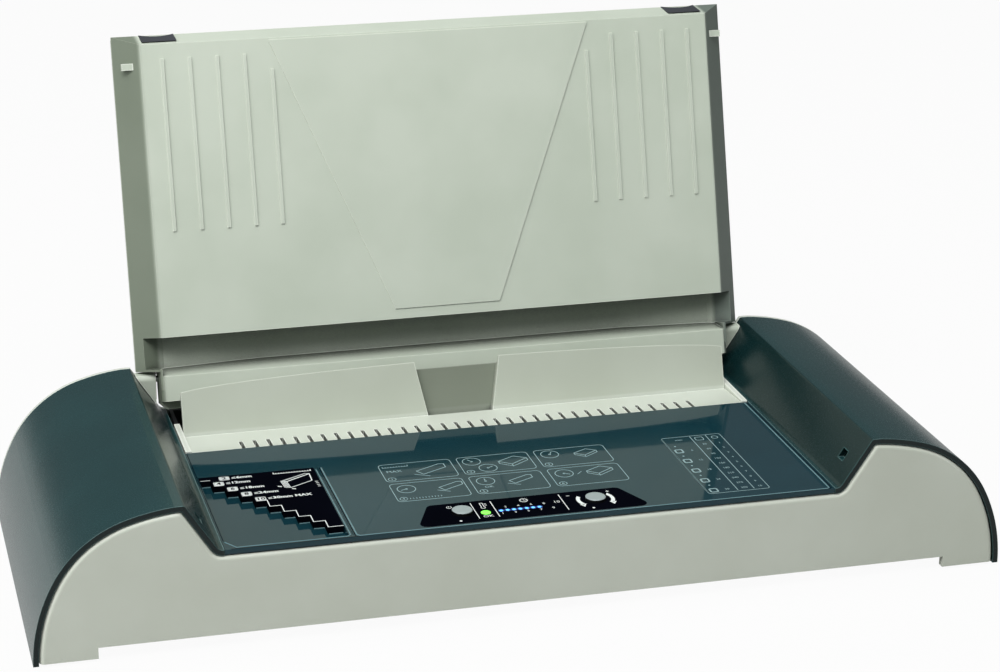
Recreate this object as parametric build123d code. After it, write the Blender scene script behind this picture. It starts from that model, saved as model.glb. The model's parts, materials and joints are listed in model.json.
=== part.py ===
"""Thermal binding machine with a hinged cover that stands open as a backrest.

Lengths are millimetres and angles are degrees.  While the pieces are made, x is
measured from the middle of the machine, y runs back from the face of the front
panel and z runs up from the desk.  At export everything moves together so that
the origin is the bottom centre of the whole machine with its cover open.
The cover, the slot guard and the two buttons move.
"""
import os
from math import cos, radians, sin, sqrt, tan

from build123d import *

# Overall form
overall_width = 532.0
body_depth = 202.0
side_width = 80.0
crest_height = 82.0
side_low_radius = 95.9
side_top_radius = 116.1
side_low_turn = 29.1
shoulder_turn = 43.9
side_top_turn = 15.0
crest_cut = 0.284
slope_angle = 57.3
tray_height = 55.5
desk_gap = 0.8

# Skins, gaps and fits
skin = 3.0
moulding = 2.5
part_gap = 0.3
moving_gap = 0.35
pin_fit = 0.05
screw_fit = 0.1

# Front and rear panels
front_thickness = 4.0
rear_thickness = 3.0
edge_round = 2.8
rear_edge_round = 0.8
crest_round = 1.5
front_crest_round = 3.4
corner_round = 3.7
foot_width = 33.4
notch_height = 8.0
foot_height = 1.8
vent_count = 29
vent_pitch = 9.0
vent_width = 3.0
vent_low = 20.0
vent_high = 40.0

# Base pan, feet and screws
pan_side_gap = 7.0
pan_floor_low = 8.0
pan_floor = 2.5
pan_rim = 9.0
pad_radius = 11.0
pad_drop = 5.5
foot_radius = 9.0
foot_inset_x = 44.0
foot_inset_y = 28.0
boss_inset_x = 61.0
boss_inset_y = 52.0
boss_radius = 4.5
screw_radius = 1.5
screw_head_radius = 3.0
screw_head = 2.2
screw_length = 16.0
board_thread = 8.0
post_x = 70.0
post_half = 5.0

# Tray with its gauge pocket
tray_edge_gap = 2.99
tray_thickness = 2.5
tray_front_y = 0.4
tray_ledge_width = 7.0
tray_ledge_gap = 2.4
gauge_side_gap = 1.4
gauge_width = 63.9
gauge_front_y = 3.0
gauge_depth = 91.1
gauge_drop = 3.8
gauge_wall = 1.2
gauge_fit = 0.1
gauge_steps = 10
gauge_step_y = 8.22
gauge_step_x = 6.14
gauge_back_band = 5.1
groove_width = 0.6
groove_depth = 0.4

# Control window, buttons and indicator lenses
window_back_half = 52.6
window_front_half = 64.0
window_front_y = 3.2
window_depth = 26.4
window_thickness = 0.9
window_round = 4.0
button_x = 36.7
button_y = 17.2
button_radius = 5.5
button_hole_gap = 0.35
button_rise = 1.8
button_stem_radius = 3.0
button_flange_radius = 7.0
button_flange = 1.0
button_travel = 0.8
button_round = 0.6
ready_lens_x = -24.6
ready_lens_y = 14.2
ready_lens_radius = 2.6
blue_lens_radius = 1.0
blue_lens_count = 7
blue_lens_first_x = -16.1
blue_lens_pitch = 3.5
blue_lens_y = 14.6
lens_length = 6.5

# Control board
board_half_width = 72.0
board_front_y = 6.5
board_depth = 29.5
board_thickness = 1.6
board_drop = 10.5
board_hole_inset = 8.0
board_post_radius = 3.5
switch_size = 6.0
switch_body = 3.4
plunger_radius = 1.75
plunger_gap = 0.3
buzzer_radius = 5.0
buzzer_height = 6.0
chip_x = 14.0
chip_width = 12.0
chip_depth = 3.0
chip_height = 1.8

# Slot guard and the frame that carries it
guard_side_gap = 4.0
slot_gap = 11.97
guard_ledge = 28.0
guard_crease_drop = 2.1
guard_sole_drop = 4.3
guard_lean = 19.0
guard_wall = 2.5
guard_end_height = 24.0
guard_crown = 7.4
recess_top_half = 25.4
recess_bottom_half = 19.4
recess_depth = 4.0
recess_drop = 4.5
recess_side_wall = 3.0
comb_slots = 35
comb_pitch = 7.8
comb_slot_width = 2.2
comb_slot_length = 12.2
rail_width = 3.2
rail_rise = 0.8
rail_length = 42.0
tongue = 1.1
tongue_height = 1.2
beam_thickness = 3.0
beam_width = 7.0
beam_back = 20.3
beam_side = 8.0

# Slot liner and heater
liner_wall = 2.0
liner_front_gap = 3.5
liner_back_gap = 0.6
liner_end_gap = 2.5
liner_back_drop = 0.4
slot_floor = 33.0
plate_end_gap = 3.5
plate_front_gap = 3.0
plate_back_gap = 6.9
plate_thickness = 4.0
plate_cover = 2.0
element_inset = 8.0
element_side_inset = 3.0
element_thickness = 2.0
insulation_inset = 5.0
insulation_side_inset = 1.5
insulation_thickness = 6.0
channel_thickness = 1.2
channel_foot = 22.0
channel_lip = 1.5
thermostat_radius = 6.0
fuse_x = 40.0
bead_radius = 3.0
bead_length = 16.0

# Power board
power_x = 132.0
power_y = 92.0
power_width = 96.0
power_depth = 70.0
power_board_rise = 8.5
power_post_radius = 3.5
power_hole_inset = 5.0
coil_size = 28.0
coil_height = 22.0
relay_width = 19.0
relay_depth = 16.0
relay_height = 15.0
film_width = 18.0
film_depth = 7.0
film_height = 13.0
can_radius = 5.0
can_height = 20.0
fuse_radius = 2.6
fuse_length = 20.0
fuse_foot = 2.0

# Mains inlet
inlet_offset_x = 4.0
inlet_z = 33.0
inlet_width = 27.0
inlet_height = 19.5
inlet_depth = 22.0
inlet_flange = 3.0
inlet_flange_thickness = 1.6
inlet_cavity_width = 18.5
inlet_cavity_height = 9.0
inlet_cavity_depth = 14.0
inlet_pin_gap = 8.6
inlet_pin_radius = 1.2
inlet_pin_inset = 3.0

# Cover
lean = 17.0
hinge_setback = 4.0
hinge_drop = 6.0
cover_side_gap = 3.2
cover_rim_w = -1.6
cover_chamfer = 14.2
cover_face_w = 14.8
cover_overhang = 1.2
cover_end_slope = 6.0
cover_heel = 2.0
corner_gap = 1.0
corner_wall = 1.2
cover_side_drop = 5.4
cover_crown = 15.0
cover_edge_round = 3.5
cover_end_round = 2.2
barrel_end_u = -12.5
barrel_inset = 12.2
barrel_back_w = -6.0
barrel_solid = 6.0
heel_rib_length = 14.0
heel_rib_drop = 5.1
heel_rib_front_w = 5.0
heel_rib_taper = 3.2
heel_rib_rise = 3.0
pocket_top_u = 24.0
pocket_lip_u = 1.9
pocket_floor_u = 6.5
pocket_deep_w = -9.5
pocket_deep_inset = 72.8
pocket_corner_w = -3.8
pocket_corner_inset = 16.8
pocket_side_inset = 4.8
pocket_side_w = 4.0
rib_inset = 59.2
rib_pitch = 15.75
rib_count = 4
rib_width = 1.8
rib_height = 0.9
rib_sink = 0.5
rib_low_u = 84.0
rib_end_gap = 14.4
inner_rib_step = 15.5
inner_rib_end_gap = 23.7
vee_top_half = 95.0
vee_end_gap = 7.2
vee_start = 6.0
vee_taper = 0.4
vee_height = 0.8
bumper_inset = 35.8
bumper_width = 20.0
bumper_depth = 4.6
bumper_rise = 0.8
bumper_fit = 0.1
bumper_hollow_radius = 41.0
bumper_hollow_drop = 40.0
catch_inset = 3.6
catch_end_gap = 16.0
catch_width = 3.8
catch_w = 8.4
catch_thickness = 3.6
catch_hole_width = 6.2
catch_hole_height = 6.7
catch_hole_clearance = 0.6

# Hinge
block_radius = 3.6
block_gap = 1.8
block_low_z = 62.0
block_flat = 3.0
ear_gap = 0.6
ear_top = 2.0
pin_radius = 1.75
pin_length = 15.0
pin_in_barrel = 9.0

# Values worked out from the sizes above
half_width = overall_width / 2
beyond = overall_width
crest_half = half_width - side_width
panel_inset = skin + part_gap
low_turn_end = sin(radians(side_low_turn))
shoulder_turn_end = sin(radians(side_low_turn + shoulder_turn))
top_turn_end = sin(radians(side_low_turn + shoulder_turn + side_top_turn))
shoulder_rise = (crest_height + crest_cut - side_low_radius * low_turn_end
                 - side_top_radius * (top_turn_end - shoulder_turn_end))
shoulder_radius = shoulder_rise / (shoulder_turn_end - low_turn_end)
side_arcs = [(side_low_radius, side_low_turn), (shoulder_radius, shoulder_turn),
             (side_top_radius, side_top_turn)]
slope_normal = (sin(radians(slope_angle)), -cos(radians(slope_angle)))
rear_panel_y = body_depth - rear_thickness
hinge_y = rear_panel_y - hinge_setback
hinge_z = crest_height - hinge_drop
foot_inner_half = half_width - foot_width
pan_half_width = half_width - pan_side_gap
pan_top = pan_floor_low + pan_floor
pan_front_y = front_thickness + part_gap
pan_back_y = rear_panel_y - part_gap
slope_foot_x = crest_half - (crest_height - tray_height) / tan(radians(slope_angle))
tray_half = slope_foot_x - tray_edge_gap
tray_low = tray_height - tray_thickness
gauge_left_x = tray_half - gauge_side_gap
gauge_right_x = gauge_left_x - gauge_width
gauge_back_y = gauge_front_y + gauge_depth
window_back_y = window_front_y + window_depth
board_top = tray_height - board_drop
board_back_y = board_front_y + board_depth
board_hole_x = board_half_width - board_hole_inset
power_board_low = pan_top + power_board_rise
guard_half = tray_half - guard_side_gap
crease_z = tray_height - guard_crease_drop
cover_face_y = hinge_y - cover_face_w / cos(radians(lean)) - (hinge_z - crease_z) * tan(radians(lean))
guard_crease_y = cover_face_y - slot_gap - guard_wall / cos(radians(guard_lean))
guard_front_y = guard_crease_y - guard_ledge
tray_back_y = guard_front_y - part_gap
guard_sole = tray_height - guard_sole_drop
rail_inner_x = guard_half + moving_gap
rail_half = rail_inner_x + rail_width
rail_back_y = tray_back_y + rail_length + part_gap
beam_top = guard_sole - moving_gap
beam_low = beam_top - beam_thickness
beam_back_y = tray_back_y + beam_back
liner_half = guard_half + liner_end_gap
liner_front_y = guard_crease_y + liner_front_gap
liner_back_y = rear_panel_y - liner_back_gap
liner_back_height = tray_height - liner_back_drop
plate_half = guard_half - plate_end_gap
plate_front_y = liner_front_y + plate_front_gap
plate_back_y = liner_back_y - plate_back_gap
plate_top = slot_floor - liner_wall
plate_low = plate_top - plate_thickness
window_half = plate_half - plate_cover
heater_window_front_y = plate_front_y + plate_cover
heater_window_back_y = plate_back_y - plate_cover
element_low = plate_low - element_thickness
insulation_low = element_low - insulation_thickness
inlet_x = crest_half + inlet_offset_x
cover_half = crest_half - cover_side_gap
cover_face_half = cover_half - cover_chamfer
cover_length = hinge_y + cover_overhang
barrel_half = cover_half - barrel_inset
pocket_deep_half = cover_half - pocket_deep_inset
pocket_corner_half = cover_half - pocket_corner_inset
pocket_half = cover_half - pocket_side_inset
rib_x = cover_face_half - rib_inset
inner_rib_x = rib_x - inner_rib_step
rib_high_u = cover_length - rib_end_gap
inner_rib_high_u = cover_length - inner_rib_end_gap
vee_top_u = cover_length - vee_end_gap
bumper_inner_x = cover_half - bumper_inset
bumper_low_u = cover_length - bumper_depth
catch_tip_x = cover_half - catch_inset
catch_high_u = cover_length - catch_end_gap
catch_low_u = catch_high_u - catch_width
catch_hole_low = hinge_z - catch_w - catch_thickness / 2 - catch_hole_clearance
cover_corner_u = block_radius + corner_gap
block_inner_x = barrel_half + block_gap
block_top_z = hinge_z + block_flat


def block(x0, x1, y0, y1, z0, z1):
    """A box between two corners."""
    return Pos((x0 + x1) / 2, (y0 + y1) / 2, (z0 + z1) / 2) * Box(x1 - x0, y1 - y0, z1 - z0)


def rod_z(x, y, z0, z1, radius):
    """An upright cylinder."""
    return Pos(x, y, (z0 + z1) / 2) * Cylinder(radius, z1 - z0)


def rod_x(x0, x1, y, z, radius):
    """A cylinder that lies across the machine."""
    return Pos((x0 + x1) / 2, y, z) * Rot(0, 90, 0) * Cylinder(radius, x1 - x0)


def rod_y(x, y0, y1, z, radius):
    """A cylinder that lies from front to back."""
    return Pos(x, (y0 + y1) / 2, z) * Rot(90, 0, 0) * Cylinder(radius, y1 - y0)


def slab_y(face, y0, y1):
    """A face drawn with x to the right and z up, as a slab from y0 to y1."""
    upright = Plane(origin=(0, y1, 0), x_dir=(1, 0, 0), z_dir=(0, -1, 0))
    return extrude(upright * face, amount=y1 - y0)


def slab_x(points, x0, x1):
    """A section given as (y, z) points, as a slab from x0 to x1."""
    side = Plane(origin=(x0, 0, 0), x_dir=(0, 1, 0), z_dir=(1, 0, 0))
    return extrude(side * make_face(Polyline(*points, close=True)), amount=x1 - x0)


def slab_z(points, z0, z1):
    """A plan given as (x, y) points, as a slab from z0 to z1."""
    return extrude(Plane.XY.offset(z0) * make_face(Polyline(*points, close=True)), amount=z1 - z0)


def flip(shape):
    """The same shape on the other side of the machine."""
    return mirror(shape, about=Plane.YZ)


def both(shape):
    """A shape together with its mirror image."""
    return shape + flip(shape)


def group(*solids):
    """Separate solids that share one node."""
    return Compound(solids)


# Outline of the body

def arch_face(inset):
    """The space under the right-hand arch, drawn inwards by an inset."""
    low = -tray_height
    wall = Line((half_width - inset, low), (half_width - inset, 0))
    edges = [wall]
    for radius, turn in side_arcs:
        edges.append(JernArc(edges[-1] @ 1, edges[-1] % 1, radius - inset, turn))
    end = edges[-1] @ 1
    edges.append(Line(end, (0, end.Y)))
    edges.append(Line((0, end.Y), (0, low)))
    edges.append(Line((0, low), (half_width - inset, low)))
    return make_face(edges)


def slope_side(inset):
    """Everything outside the slope that runs from the crest down to the tray."""
    run = (cos(radians(slope_angle)) * beyond, sin(radians(slope_angle)) * beyond)
    x = crest_half + slope_normal[0] * inset
    z = crest_height + slope_normal[1] * inset
    points = [(x + run[0], z + run[1]), (x - run[0], z - run[1]), (x + 2 * beyond, z - run[1])]
    return make_face(Polyline(*points, close=True))


def body_half(arch_inset, inset, bottom, crest=crest_round):
    """Right half of the body's section: arch, slope and tray level, drawn inwards."""
    tray_top = tray_height - inset
    arch = arch_face(arch_inset) & slope_side(inset)
    middle = Pos(crest_half / 2, (tray_top + bottom) / 2) * Rectangle(crest_half, tray_top - bottom)
    tall = Pos(half_width / 2, (crest_height + bottom) / 2) * Rectangle(half_width, crest_height - bottom)
    half = (arch + middle) & tall
    crest_corner = min(half.vertices(), key=lambda corner: (-round(corner.Y, 2), corner.X))
    half = fillet(crest_corner, crest)
    corners = [corner for corner in half.vertices() if is_tray_corner(corner, tray_top)]
    return fillet(corners, corner_round + inset)


def is_tray_corner(corner, tray_top):
    """Whether a corner of the section lies at the foot of the slope."""
    return abs(corner.Y - tray_top) < 0.01 and tray_half < corner.X < crest_half


def body_face(arch_inset, inset, bottom, crest=crest_round):
    """The whole body's section."""
    half = body_half(arch_inset, inset, bottom, crest)
    return half + mirror(half, about=Plane.YZ)


# Body shells

def side_cover_right():
    """Dark arch with its inner slope, bosses for the screws and the catch hole."""
    outer = body_half(0, 0, desk_gap)
    outer &= Pos((tray_half + part_gap + half_width) / 2, crest_height / 2) * Rectangle(
        half_width - tray_half - part_gap, 2 * crest_height)
    hollow = body_half(skin, skin, -skin)
    cover = slab_y(outer, part_gap, rear_panel_y) - slab_y(hollow, -1, body_depth)
    ledge_x = tray_half - tray_ledge_width
    ledge_low = tray_low - moulding
    ledge_front_y = gauge_back_y + gauge_wall + tray_ledge_gap
    ledge = block(ledge_x, tray_half + skin, ledge_front_y, tray_back_y, ledge_low, tray_low)
    cover += ledge
    bosses = []
    for x, y in boss_places()[2:]:
        column = rod_z(x, y, pan_top, 2 * crest_height, boss_radius)
        column &= slab_y(body_half(skin / 2, skin / 2, 0), 0, body_depth)
        bosses.append(column)
    cover += bosses
    for x, y in boss_places()[2:]:
        cover -= rod_z(x, y, 0, pan_floor_low + screw_length + 1, screw_radius + screw_fit)
    catch_y = hinge_y - (catch_low_u + catch_high_u) / 2
    hole = block(tray_half, half_width, catch_y - catch_hole_width / 2, catch_y + catch_hole_width / 2,
                 catch_hole_low, catch_hole_low + catch_hole_height)
    return cover - (hole & slab_y(arch_face(4 * skin), 0, body_depth))


def rim_edges(panel, y):
    """The edges of an end panel's outer face that follow the arches, slopes and tray."""
    edges = [edge for edge in panel.edges() if abs(edge.center().Y - y) < 0.01]
    return [edge for edge in edges if (edge @ 0.5).Z > notch_height + foot_height]


def front_panel():
    """Pale front moulding with a foot at each end."""
    face = body_face(panel_inset, panel_inset, foot_height, front_crest_round)
    notch = Rectangle(2 * foot_inner_half, 2 * notch_height)
    panel = slab_y(face - notch, 0, front_thickness)
    panel = fillet(rim_edges(panel, 0), edge_round)
    tub_low = tray_height - gauge_drop - moulding
    return panel - block(-tray_half - part_gap, -gauge_right_x + gauge_wall + part_gap,
                         gauge_front_y - gauge_wall - part_gap, front_thickness + 1,
                         tub_low - part_gap, tray_height)


def rear_panel():
    """Pale back moulding with the inlet's opening, cooling slots and an ear behind each hinge block."""
    face = body_face(0, 0, foot_height)
    face -= Rectangle(2 * foot_inner_half, 2 * notch_height)
    panel = slab_y(face, rear_panel_y, body_depth)
    panel = fillet(rim_edges(panel, body_depth), rear_edge_round)
    panel += both(block(barrel_half + ear_gap, crest_half, rear_panel_y, body_depth,
                        block_low_z, hinge_z + ear_top))
    panel -= block(inlet_x - inlet_width / 2 - part_gap, inlet_x + inlet_width / 2 + part_gap,
                   rear_panel_y - 1, body_depth + 1,
                   inlet_z - inlet_height / 2 - part_gap, inlet_z + inlet_height / 2 + part_gap)
    vents = []
    for index in range(vent_count):
        x = (index - (vent_count - 1) / 2) * vent_pitch
        vents.append(block(x - vent_width / 2, x + vent_width / 2, rear_panel_y - 1, body_depth + 1,
                           vent_low, vent_high))
    return panel - vents


def foot_places():
    """Centres of the four feet."""
    x = half_width - foot_inset_x
    return [(side * x, y) for side in (-1, 1) for y in (foot_inset_y, body_depth - foot_inset_y)]


def boss_places():
    """Centres of the four case screws, the left pair first."""
    x = half_width - boss_inset_x
    return [(side * x, y) for side in (-1, 1) for y in (boss_inset_y, body_depth - boss_inset_y)]


def board_posts():
    """Centres of the control board's posts."""
    y = (board_front_y + board_back_y) / 2
    return [(-board_hole_x, y), (board_hole_x, y)]


def power_posts():
    """Centres of the power board's posts."""
    across = power_width / 2 - power_hole_inset
    along = power_depth / 2 - power_hole_inset
    return [(power_x + sx * across, power_y + sy * along) for sx in (-1, 1) for sy in (-1, 1)]


def base_pan():
    """Bottom tray of the case with posts for the boards and pads for the feet."""
    pan = block(-pan_half_width, pan_half_width, pan_front_y, pan_back_y,
                pan_floor_low, pan_top + pan_rim)
    pan -= block(-pan_half_width + moulding, pan_half_width - moulding,
                 pan_front_y + moulding, pan_back_y - moulding, pan_top, pan_top + pan_rim + 1)
    raised = [rod_z(x, y, pan_floor_low - pad_drop, pan_floor_low, pad_radius) for x, y in foot_places()]
    raised += [rod_z(x, y, pan_top, board_top - board_thickness, board_post_radius) for x, y in board_posts()]
    raised += [rod_z(x, y, pan_top, power_board_low, power_post_radius) for x, y in power_posts()]
    raised += [tray_post(-1), tray_post(1)]
    bore = screw_radius + screw_fit
    holes = [rod_z(x, y, 0, 2 * pan_top, bore) for x, y in boss_places()]
    holes += [rod_z(x, y, board_top - 2 * board_thread, board_top, bore) for x, y in board_posts()]
    holes += [rod_z(x, y, pan_top + part_gap, board_top, bore) for x, y in power_posts()]
    return pan + raised - holes


def tray_post(side):
    """A post of the base pan that holds up the slot frame."""
    x = side * post_x
    return block(x - post_half, x + post_half, beam_back_y - beam_width, beam_back_y - part_gap,
                 pan_top, beam_low)


def rubber_feet():
    """Four rubber discs under the pads."""
    return group(*[rod_z(x, y, 0, pan_floor_low - pad_drop, foot_radius) for x, y in foot_places()])


def screw(x, y, seat, length, drives_up):
    """A screw with its head's underside at the seat."""
    ahead = 1 if drives_up else -1
    points = [(0, 0, -ahead * screw_head), (screw_head_radius, 0, -ahead * screw_head),
              (screw_head_radius, 0, 0), (screw_radius, 0, 0),
              (screw_radius, 0, ahead * length), (0, 0, ahead * length)]
    return Pos(x, y, seat) * revolve(make_face(Polyline(*points, close=True)), Axis.Z)


def case_screws():
    """Four screws up through the pan into the side covers."""
    return group(*[screw(x, y, pan_floor_low, screw_length, True) for x, y in boss_places()])


# Tray

def gauge_plan():
    """The stepped plan of the thickness gauge, a fit inside its pocket."""
    left = gauge_fit - gauge_left_x
    right = -gauge_right_x - gauge_fit
    back = gauge_back_y - gauge_fit
    points = [(left, back)]
    for index in range(gauge_steps):
        y = gauge_back_y - gauge_back_band - index * gauge_step_y
        end_x = right if index == gauge_steps - 1 else (index + 1) * gauge_step_x - gauge_left_x
        points.append((max(index * gauge_step_x - gauge_left_x, left), y))
        points.append((end_x, y))
    points.append((right, back))
    return points


def thickness_gauge():
    """Raised stair whose steps show the thickness of a document."""
    return slab_z(gauge_plan(), tray_height - gauge_drop, tray_height)


def window_plan():
    """Plan of the control window, a trapezoid with rounded corners."""
    points = [(-window_front_half, window_front_y), (window_front_half, window_front_y),
              (window_back_half, window_back_y), (-window_back_half, window_back_y)]
    face = make_face(Polyline(*points, close=True))
    return fillet(face.vertices(), window_round)


def lens_places():
    """Centres and radii of the green lens and the row of blue lenses."""
    places = [(ready_lens_x, ready_lens_y, ready_lens_radius)]
    for index in range(blue_lens_count):
        places.append((blue_lens_first_x + index * blue_lens_pitch, blue_lens_y, blue_lens_radius))
    return places


def tray_panel():
    """Glossy tray with the gauge's pocket and the seat of the control window."""
    tray = block(-tray_half, tray_half, tray_front_y, tray_back_y, tray_low, tray_height)
    pocket_low = tray_height - gauge_drop
    tray += block(-tray_half, -gauge_right_x + gauge_wall, gauge_front_y - gauge_wall,
                  gauge_back_y + gauge_wall, pocket_low - moulding, tray_low)
    tray -= block(-gauge_left_x, -gauge_right_x, gauge_front_y, gauge_back_y, pocket_low, tray_height + 1)
    groove_x = -gauge_right_x + gauge_wall + groove_width
    tray -= block(groove_x, groove_x + groove_width, gauge_front_y, gauge_back_y,
                  tray_height - groove_depth, tray_height + 1)
    seat_low = tray_height - window_thickness
    seat = extrude(Plane.XY.offset(seat_low) * window_plan(), amount=window_thickness + 1)
    tray -= seat
    for x in (-button_x, button_x):
        tray -= rod_z(x, button_y, 0, 2 * tray_height, button_radius + button_hole_gap)
    for x, y, radius in lens_places():
        tray -= rod_z(x, y, 0, 2 * tray_height, radius + screw_fit)
    return tray


def control_window():
    """Black overlay round the buttons and the indicator lenses."""
    window = extrude(Plane.XY.offset(tray_height - window_thickness) * window_plan(),
                     amount=window_thickness)
    for x in (-button_x, button_x):
        window -= rod_z(x, button_y, 0, 2 * tray_height, button_radius + button_hole_gap)
    for x, y, radius in lens_places():
        window -= rod_z(x, y, 0, 2 * tray_height, radius + screw_fit)
    return window


def push_button(x):
    """Round cap on a stem, with a flange that keeps it under the tray."""
    top = tray_height + button_rise
    flange_top = tray_low - part_gap
    cap = rod_z(x, button_y, flange_top - button_flange, top, button_radius)
    cap = fillet(cap.edges().sort_by(Axis.Z)[-1], button_round)
    cap += rod_z(x, button_y, flange_top - button_flange, flange_top, button_flange_radius)
    plunger_top = board_top + switch_body + plunger_gap
    return cap + rod_z(x, button_y, plunger_top + button_travel + plunger_gap, flange_top, button_stem_radius)


def lenses(blue):
    """The clear pegs that carry the light of the indicators up to the window."""
    places = lens_places()
    chosen = places[1:] if blue else places[:1]
    return group(*[rod_z(x, y, tray_height - lens_length, tray_height, radius) for x, y, radius in chosen])


# Electronics

def control_board():
    """Circuit board under the control window."""
    board = block(-board_half_width, board_half_width, board_front_y, board_back_y,
                  board_top - board_thickness, board_top)
    for x, y in board_posts():
        board -= rod_z(x, y, 0, 2 * board_top, screw_radius + screw_fit)
    return board


def board_screws():
    """Screws that hold both circuit boards on their posts."""
    power_top = power_board_low + board_thickness
    power_thread = power_top - pan_top - 2 * part_gap
    screws = [screw(x, y, board_top, board_thread, False) for x, y in board_posts()]
    screws += [screw(x, y, power_top, power_thread, False) for x, y in power_posts()]
    return group(*screws)


def key_switches():
    """Two small switches that the buttons press."""
    switches = []
    for x in (-button_x, button_x):
        half = switch_size / 2
        body = block(x - half, x + half, button_y - half, button_y + half, board_top, board_top + switch_body)
        top = board_top + switch_body + plunger_gap
        switches.append(body + rod_z(x, button_y, board_top + switch_body, top, plunger_radius))
    return group(*switches)


def indicator_leds():
    """One light source under each lens."""
    leds = []
    lens_low = tray_height - lens_length
    for x, y, radius in lens_places():
        leds.append(rod_z(x, y, board_top, lens_low - part_gap, radius))
    return group(*leds)


def buzzer():
    """Round sounder on the control board."""
    y = board_back_y - buzzer_radius - screw_radius
    return rod_z(0, y, board_top, board_top + buzzer_height, buzzer_radius)


def control_chip():
    """Microcontroller on the control board."""
    y = board_front_y + chip_depth
    return block(chip_x - chip_width / 2, chip_x + chip_width / 2, y - chip_depth / 2, y + chip_depth / 2,
                 board_top, board_top + chip_height)


def power_board():
    """Circuit board that switches the heater."""
    board = block(power_x - power_width / 2, power_x + power_width / 2,
                  power_y - power_depth / 2, power_y + power_depth / 2,
                  power_board_low, power_board_low + board_thickness)
    for x, y in power_posts():
        board -= rod_z(x, y, 0, board_top, screw_radius + screw_fit)
    return board


def power_components():
    """Transformer, relay, capacitors and fuse on the power board."""
    top = power_board_low + board_thickness
    row = power_depth / 5
    coil_x = power_x - power_width / 4 + can_radius / 2
    relay_x = power_x + relay_width / 2 + screw_radius
    can_x = power_x + power_width / 3
    transformer = Pos(coil_x, power_y, top + coil_height / 2) * Box(coil_size, coil_size, coil_height)
    relay = Pos(relay_x, power_y + row, top + relay_height / 2) * Box(relay_width, relay_depth, relay_height)
    film = Pos(relay_x, power_y - row / 2, top + film_height / 2) * Box(film_width, film_depth, film_height)
    can = rod_z(can_x, power_y - row / 2, top, top + can_height, can_radius)
    fuse_y = power_y + row
    fuse_z = top + fuse_radius + part_gap
    fuse = rod_y(can_x, fuse_y - fuse_length / 2, fuse_y + fuse_length / 2, fuse_z, fuse_radius)
    fuse += block(can_x - fuse_foot, can_x + fuse_foot, fuse_y - fuse_foot, fuse_y + fuse_foot, top, fuse_z)
    return group(transformer, relay, film, can, fuse)


def mains_inlet():
    """Appliance inlet in the rear panel: the open socket faces back."""
    half_w = inlet_width / 2
    half_h = inlet_height / 2
    front = body_depth - inlet_depth
    body = block(inlet_x - half_w, inlet_x + half_w, front, body_depth,
                 inlet_z - half_h, inlet_z + half_h)
    flange = block(inlet_x - half_w - inlet_flange, inlet_x + half_w + inlet_flange,
                   body_depth, body_depth + inlet_flange_thickness,
                   inlet_z - half_h - inlet_flange, inlet_z + half_h + inlet_flange)
    cavity_half_w = inlet_cavity_width / 2
    cavity_half_h = inlet_cavity_height / 2
    mouth = body_depth + inlet_flange_thickness
    cavity = block(inlet_x - cavity_half_w, inlet_x + cavity_half_w, mouth - inlet_cavity_depth, mouth + 1,
                   inlet_z - cavity_half_h, inlet_z + cavity_half_h)
    cavity = fillet(cavity.edges().filter_by(Axis.Y), inlet_cavity_height / 2 - 0.1)
    socket = body + flange - cavity
    for side in (-1, 1):
        x = inlet_x + side * inlet_pin_gap / 2
        socket += rod_y(x, mouth - inlet_cavity_depth, mouth - inlet_pin_inset, inlet_z, inlet_pin_radius)
    return socket


# Slot frame, guard and liner

def slot_frame():
    """Pale cross-beam with the two end rails that the guard runs in."""
    beam = block(-rail_half, rail_half, beam_back_y - beam_width, beam_back_y, beam_low, beam_top)
    end = block(rail_half - beam_side, rail_half, guard_front_y, rail_back_y, beam_low, beam_top)
    rail = block(rail_inner_x, rail_half, guard_front_y, rail_back_y, beam_top, tray_height + rail_rise)
    rail -= block(0, rail_inner_x + tongue + moving_gap, guard_front_y, rail_back_y + 1,
                  guard_sole - moving_gap, guard_sole + tongue_height + moving_gap)
    return beam + both(end + rail)


def guard_wall_face():
    """Front view of the guard's wall, crowned along its top."""
    half = guard_half + guard_wall
    arch = EllipticalCenterArc((0, guard_end_height), half, guard_crown, 0, arc_size=180)
    area = make_face([arch, Line(arch @ 1, (-half, -half)), Line((-half, -half), (half, -half)),
                      Line((half, -half), arch @ 0)])
    return area & Rectangle(2 * guard_half, beyond)


def recess_outline(grow):
    """Front view of the recess in the middle of the guard, grown by a wall."""
    height = guard_end_height + guard_crown
    flare = (recess_top_half - recess_bottom_half) / height
    top = height + recess_depth
    top_half = recess_bottom_half + flare * top + grow
    low_half = recess_bottom_half + grow
    points = [(-top_half, top), (-low_half, 0), (-low_half, -height), (low_half, -height), (low_half, 0),
              (top_half, top)]
    return make_face(Polyline(*points, close=True))


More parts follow.
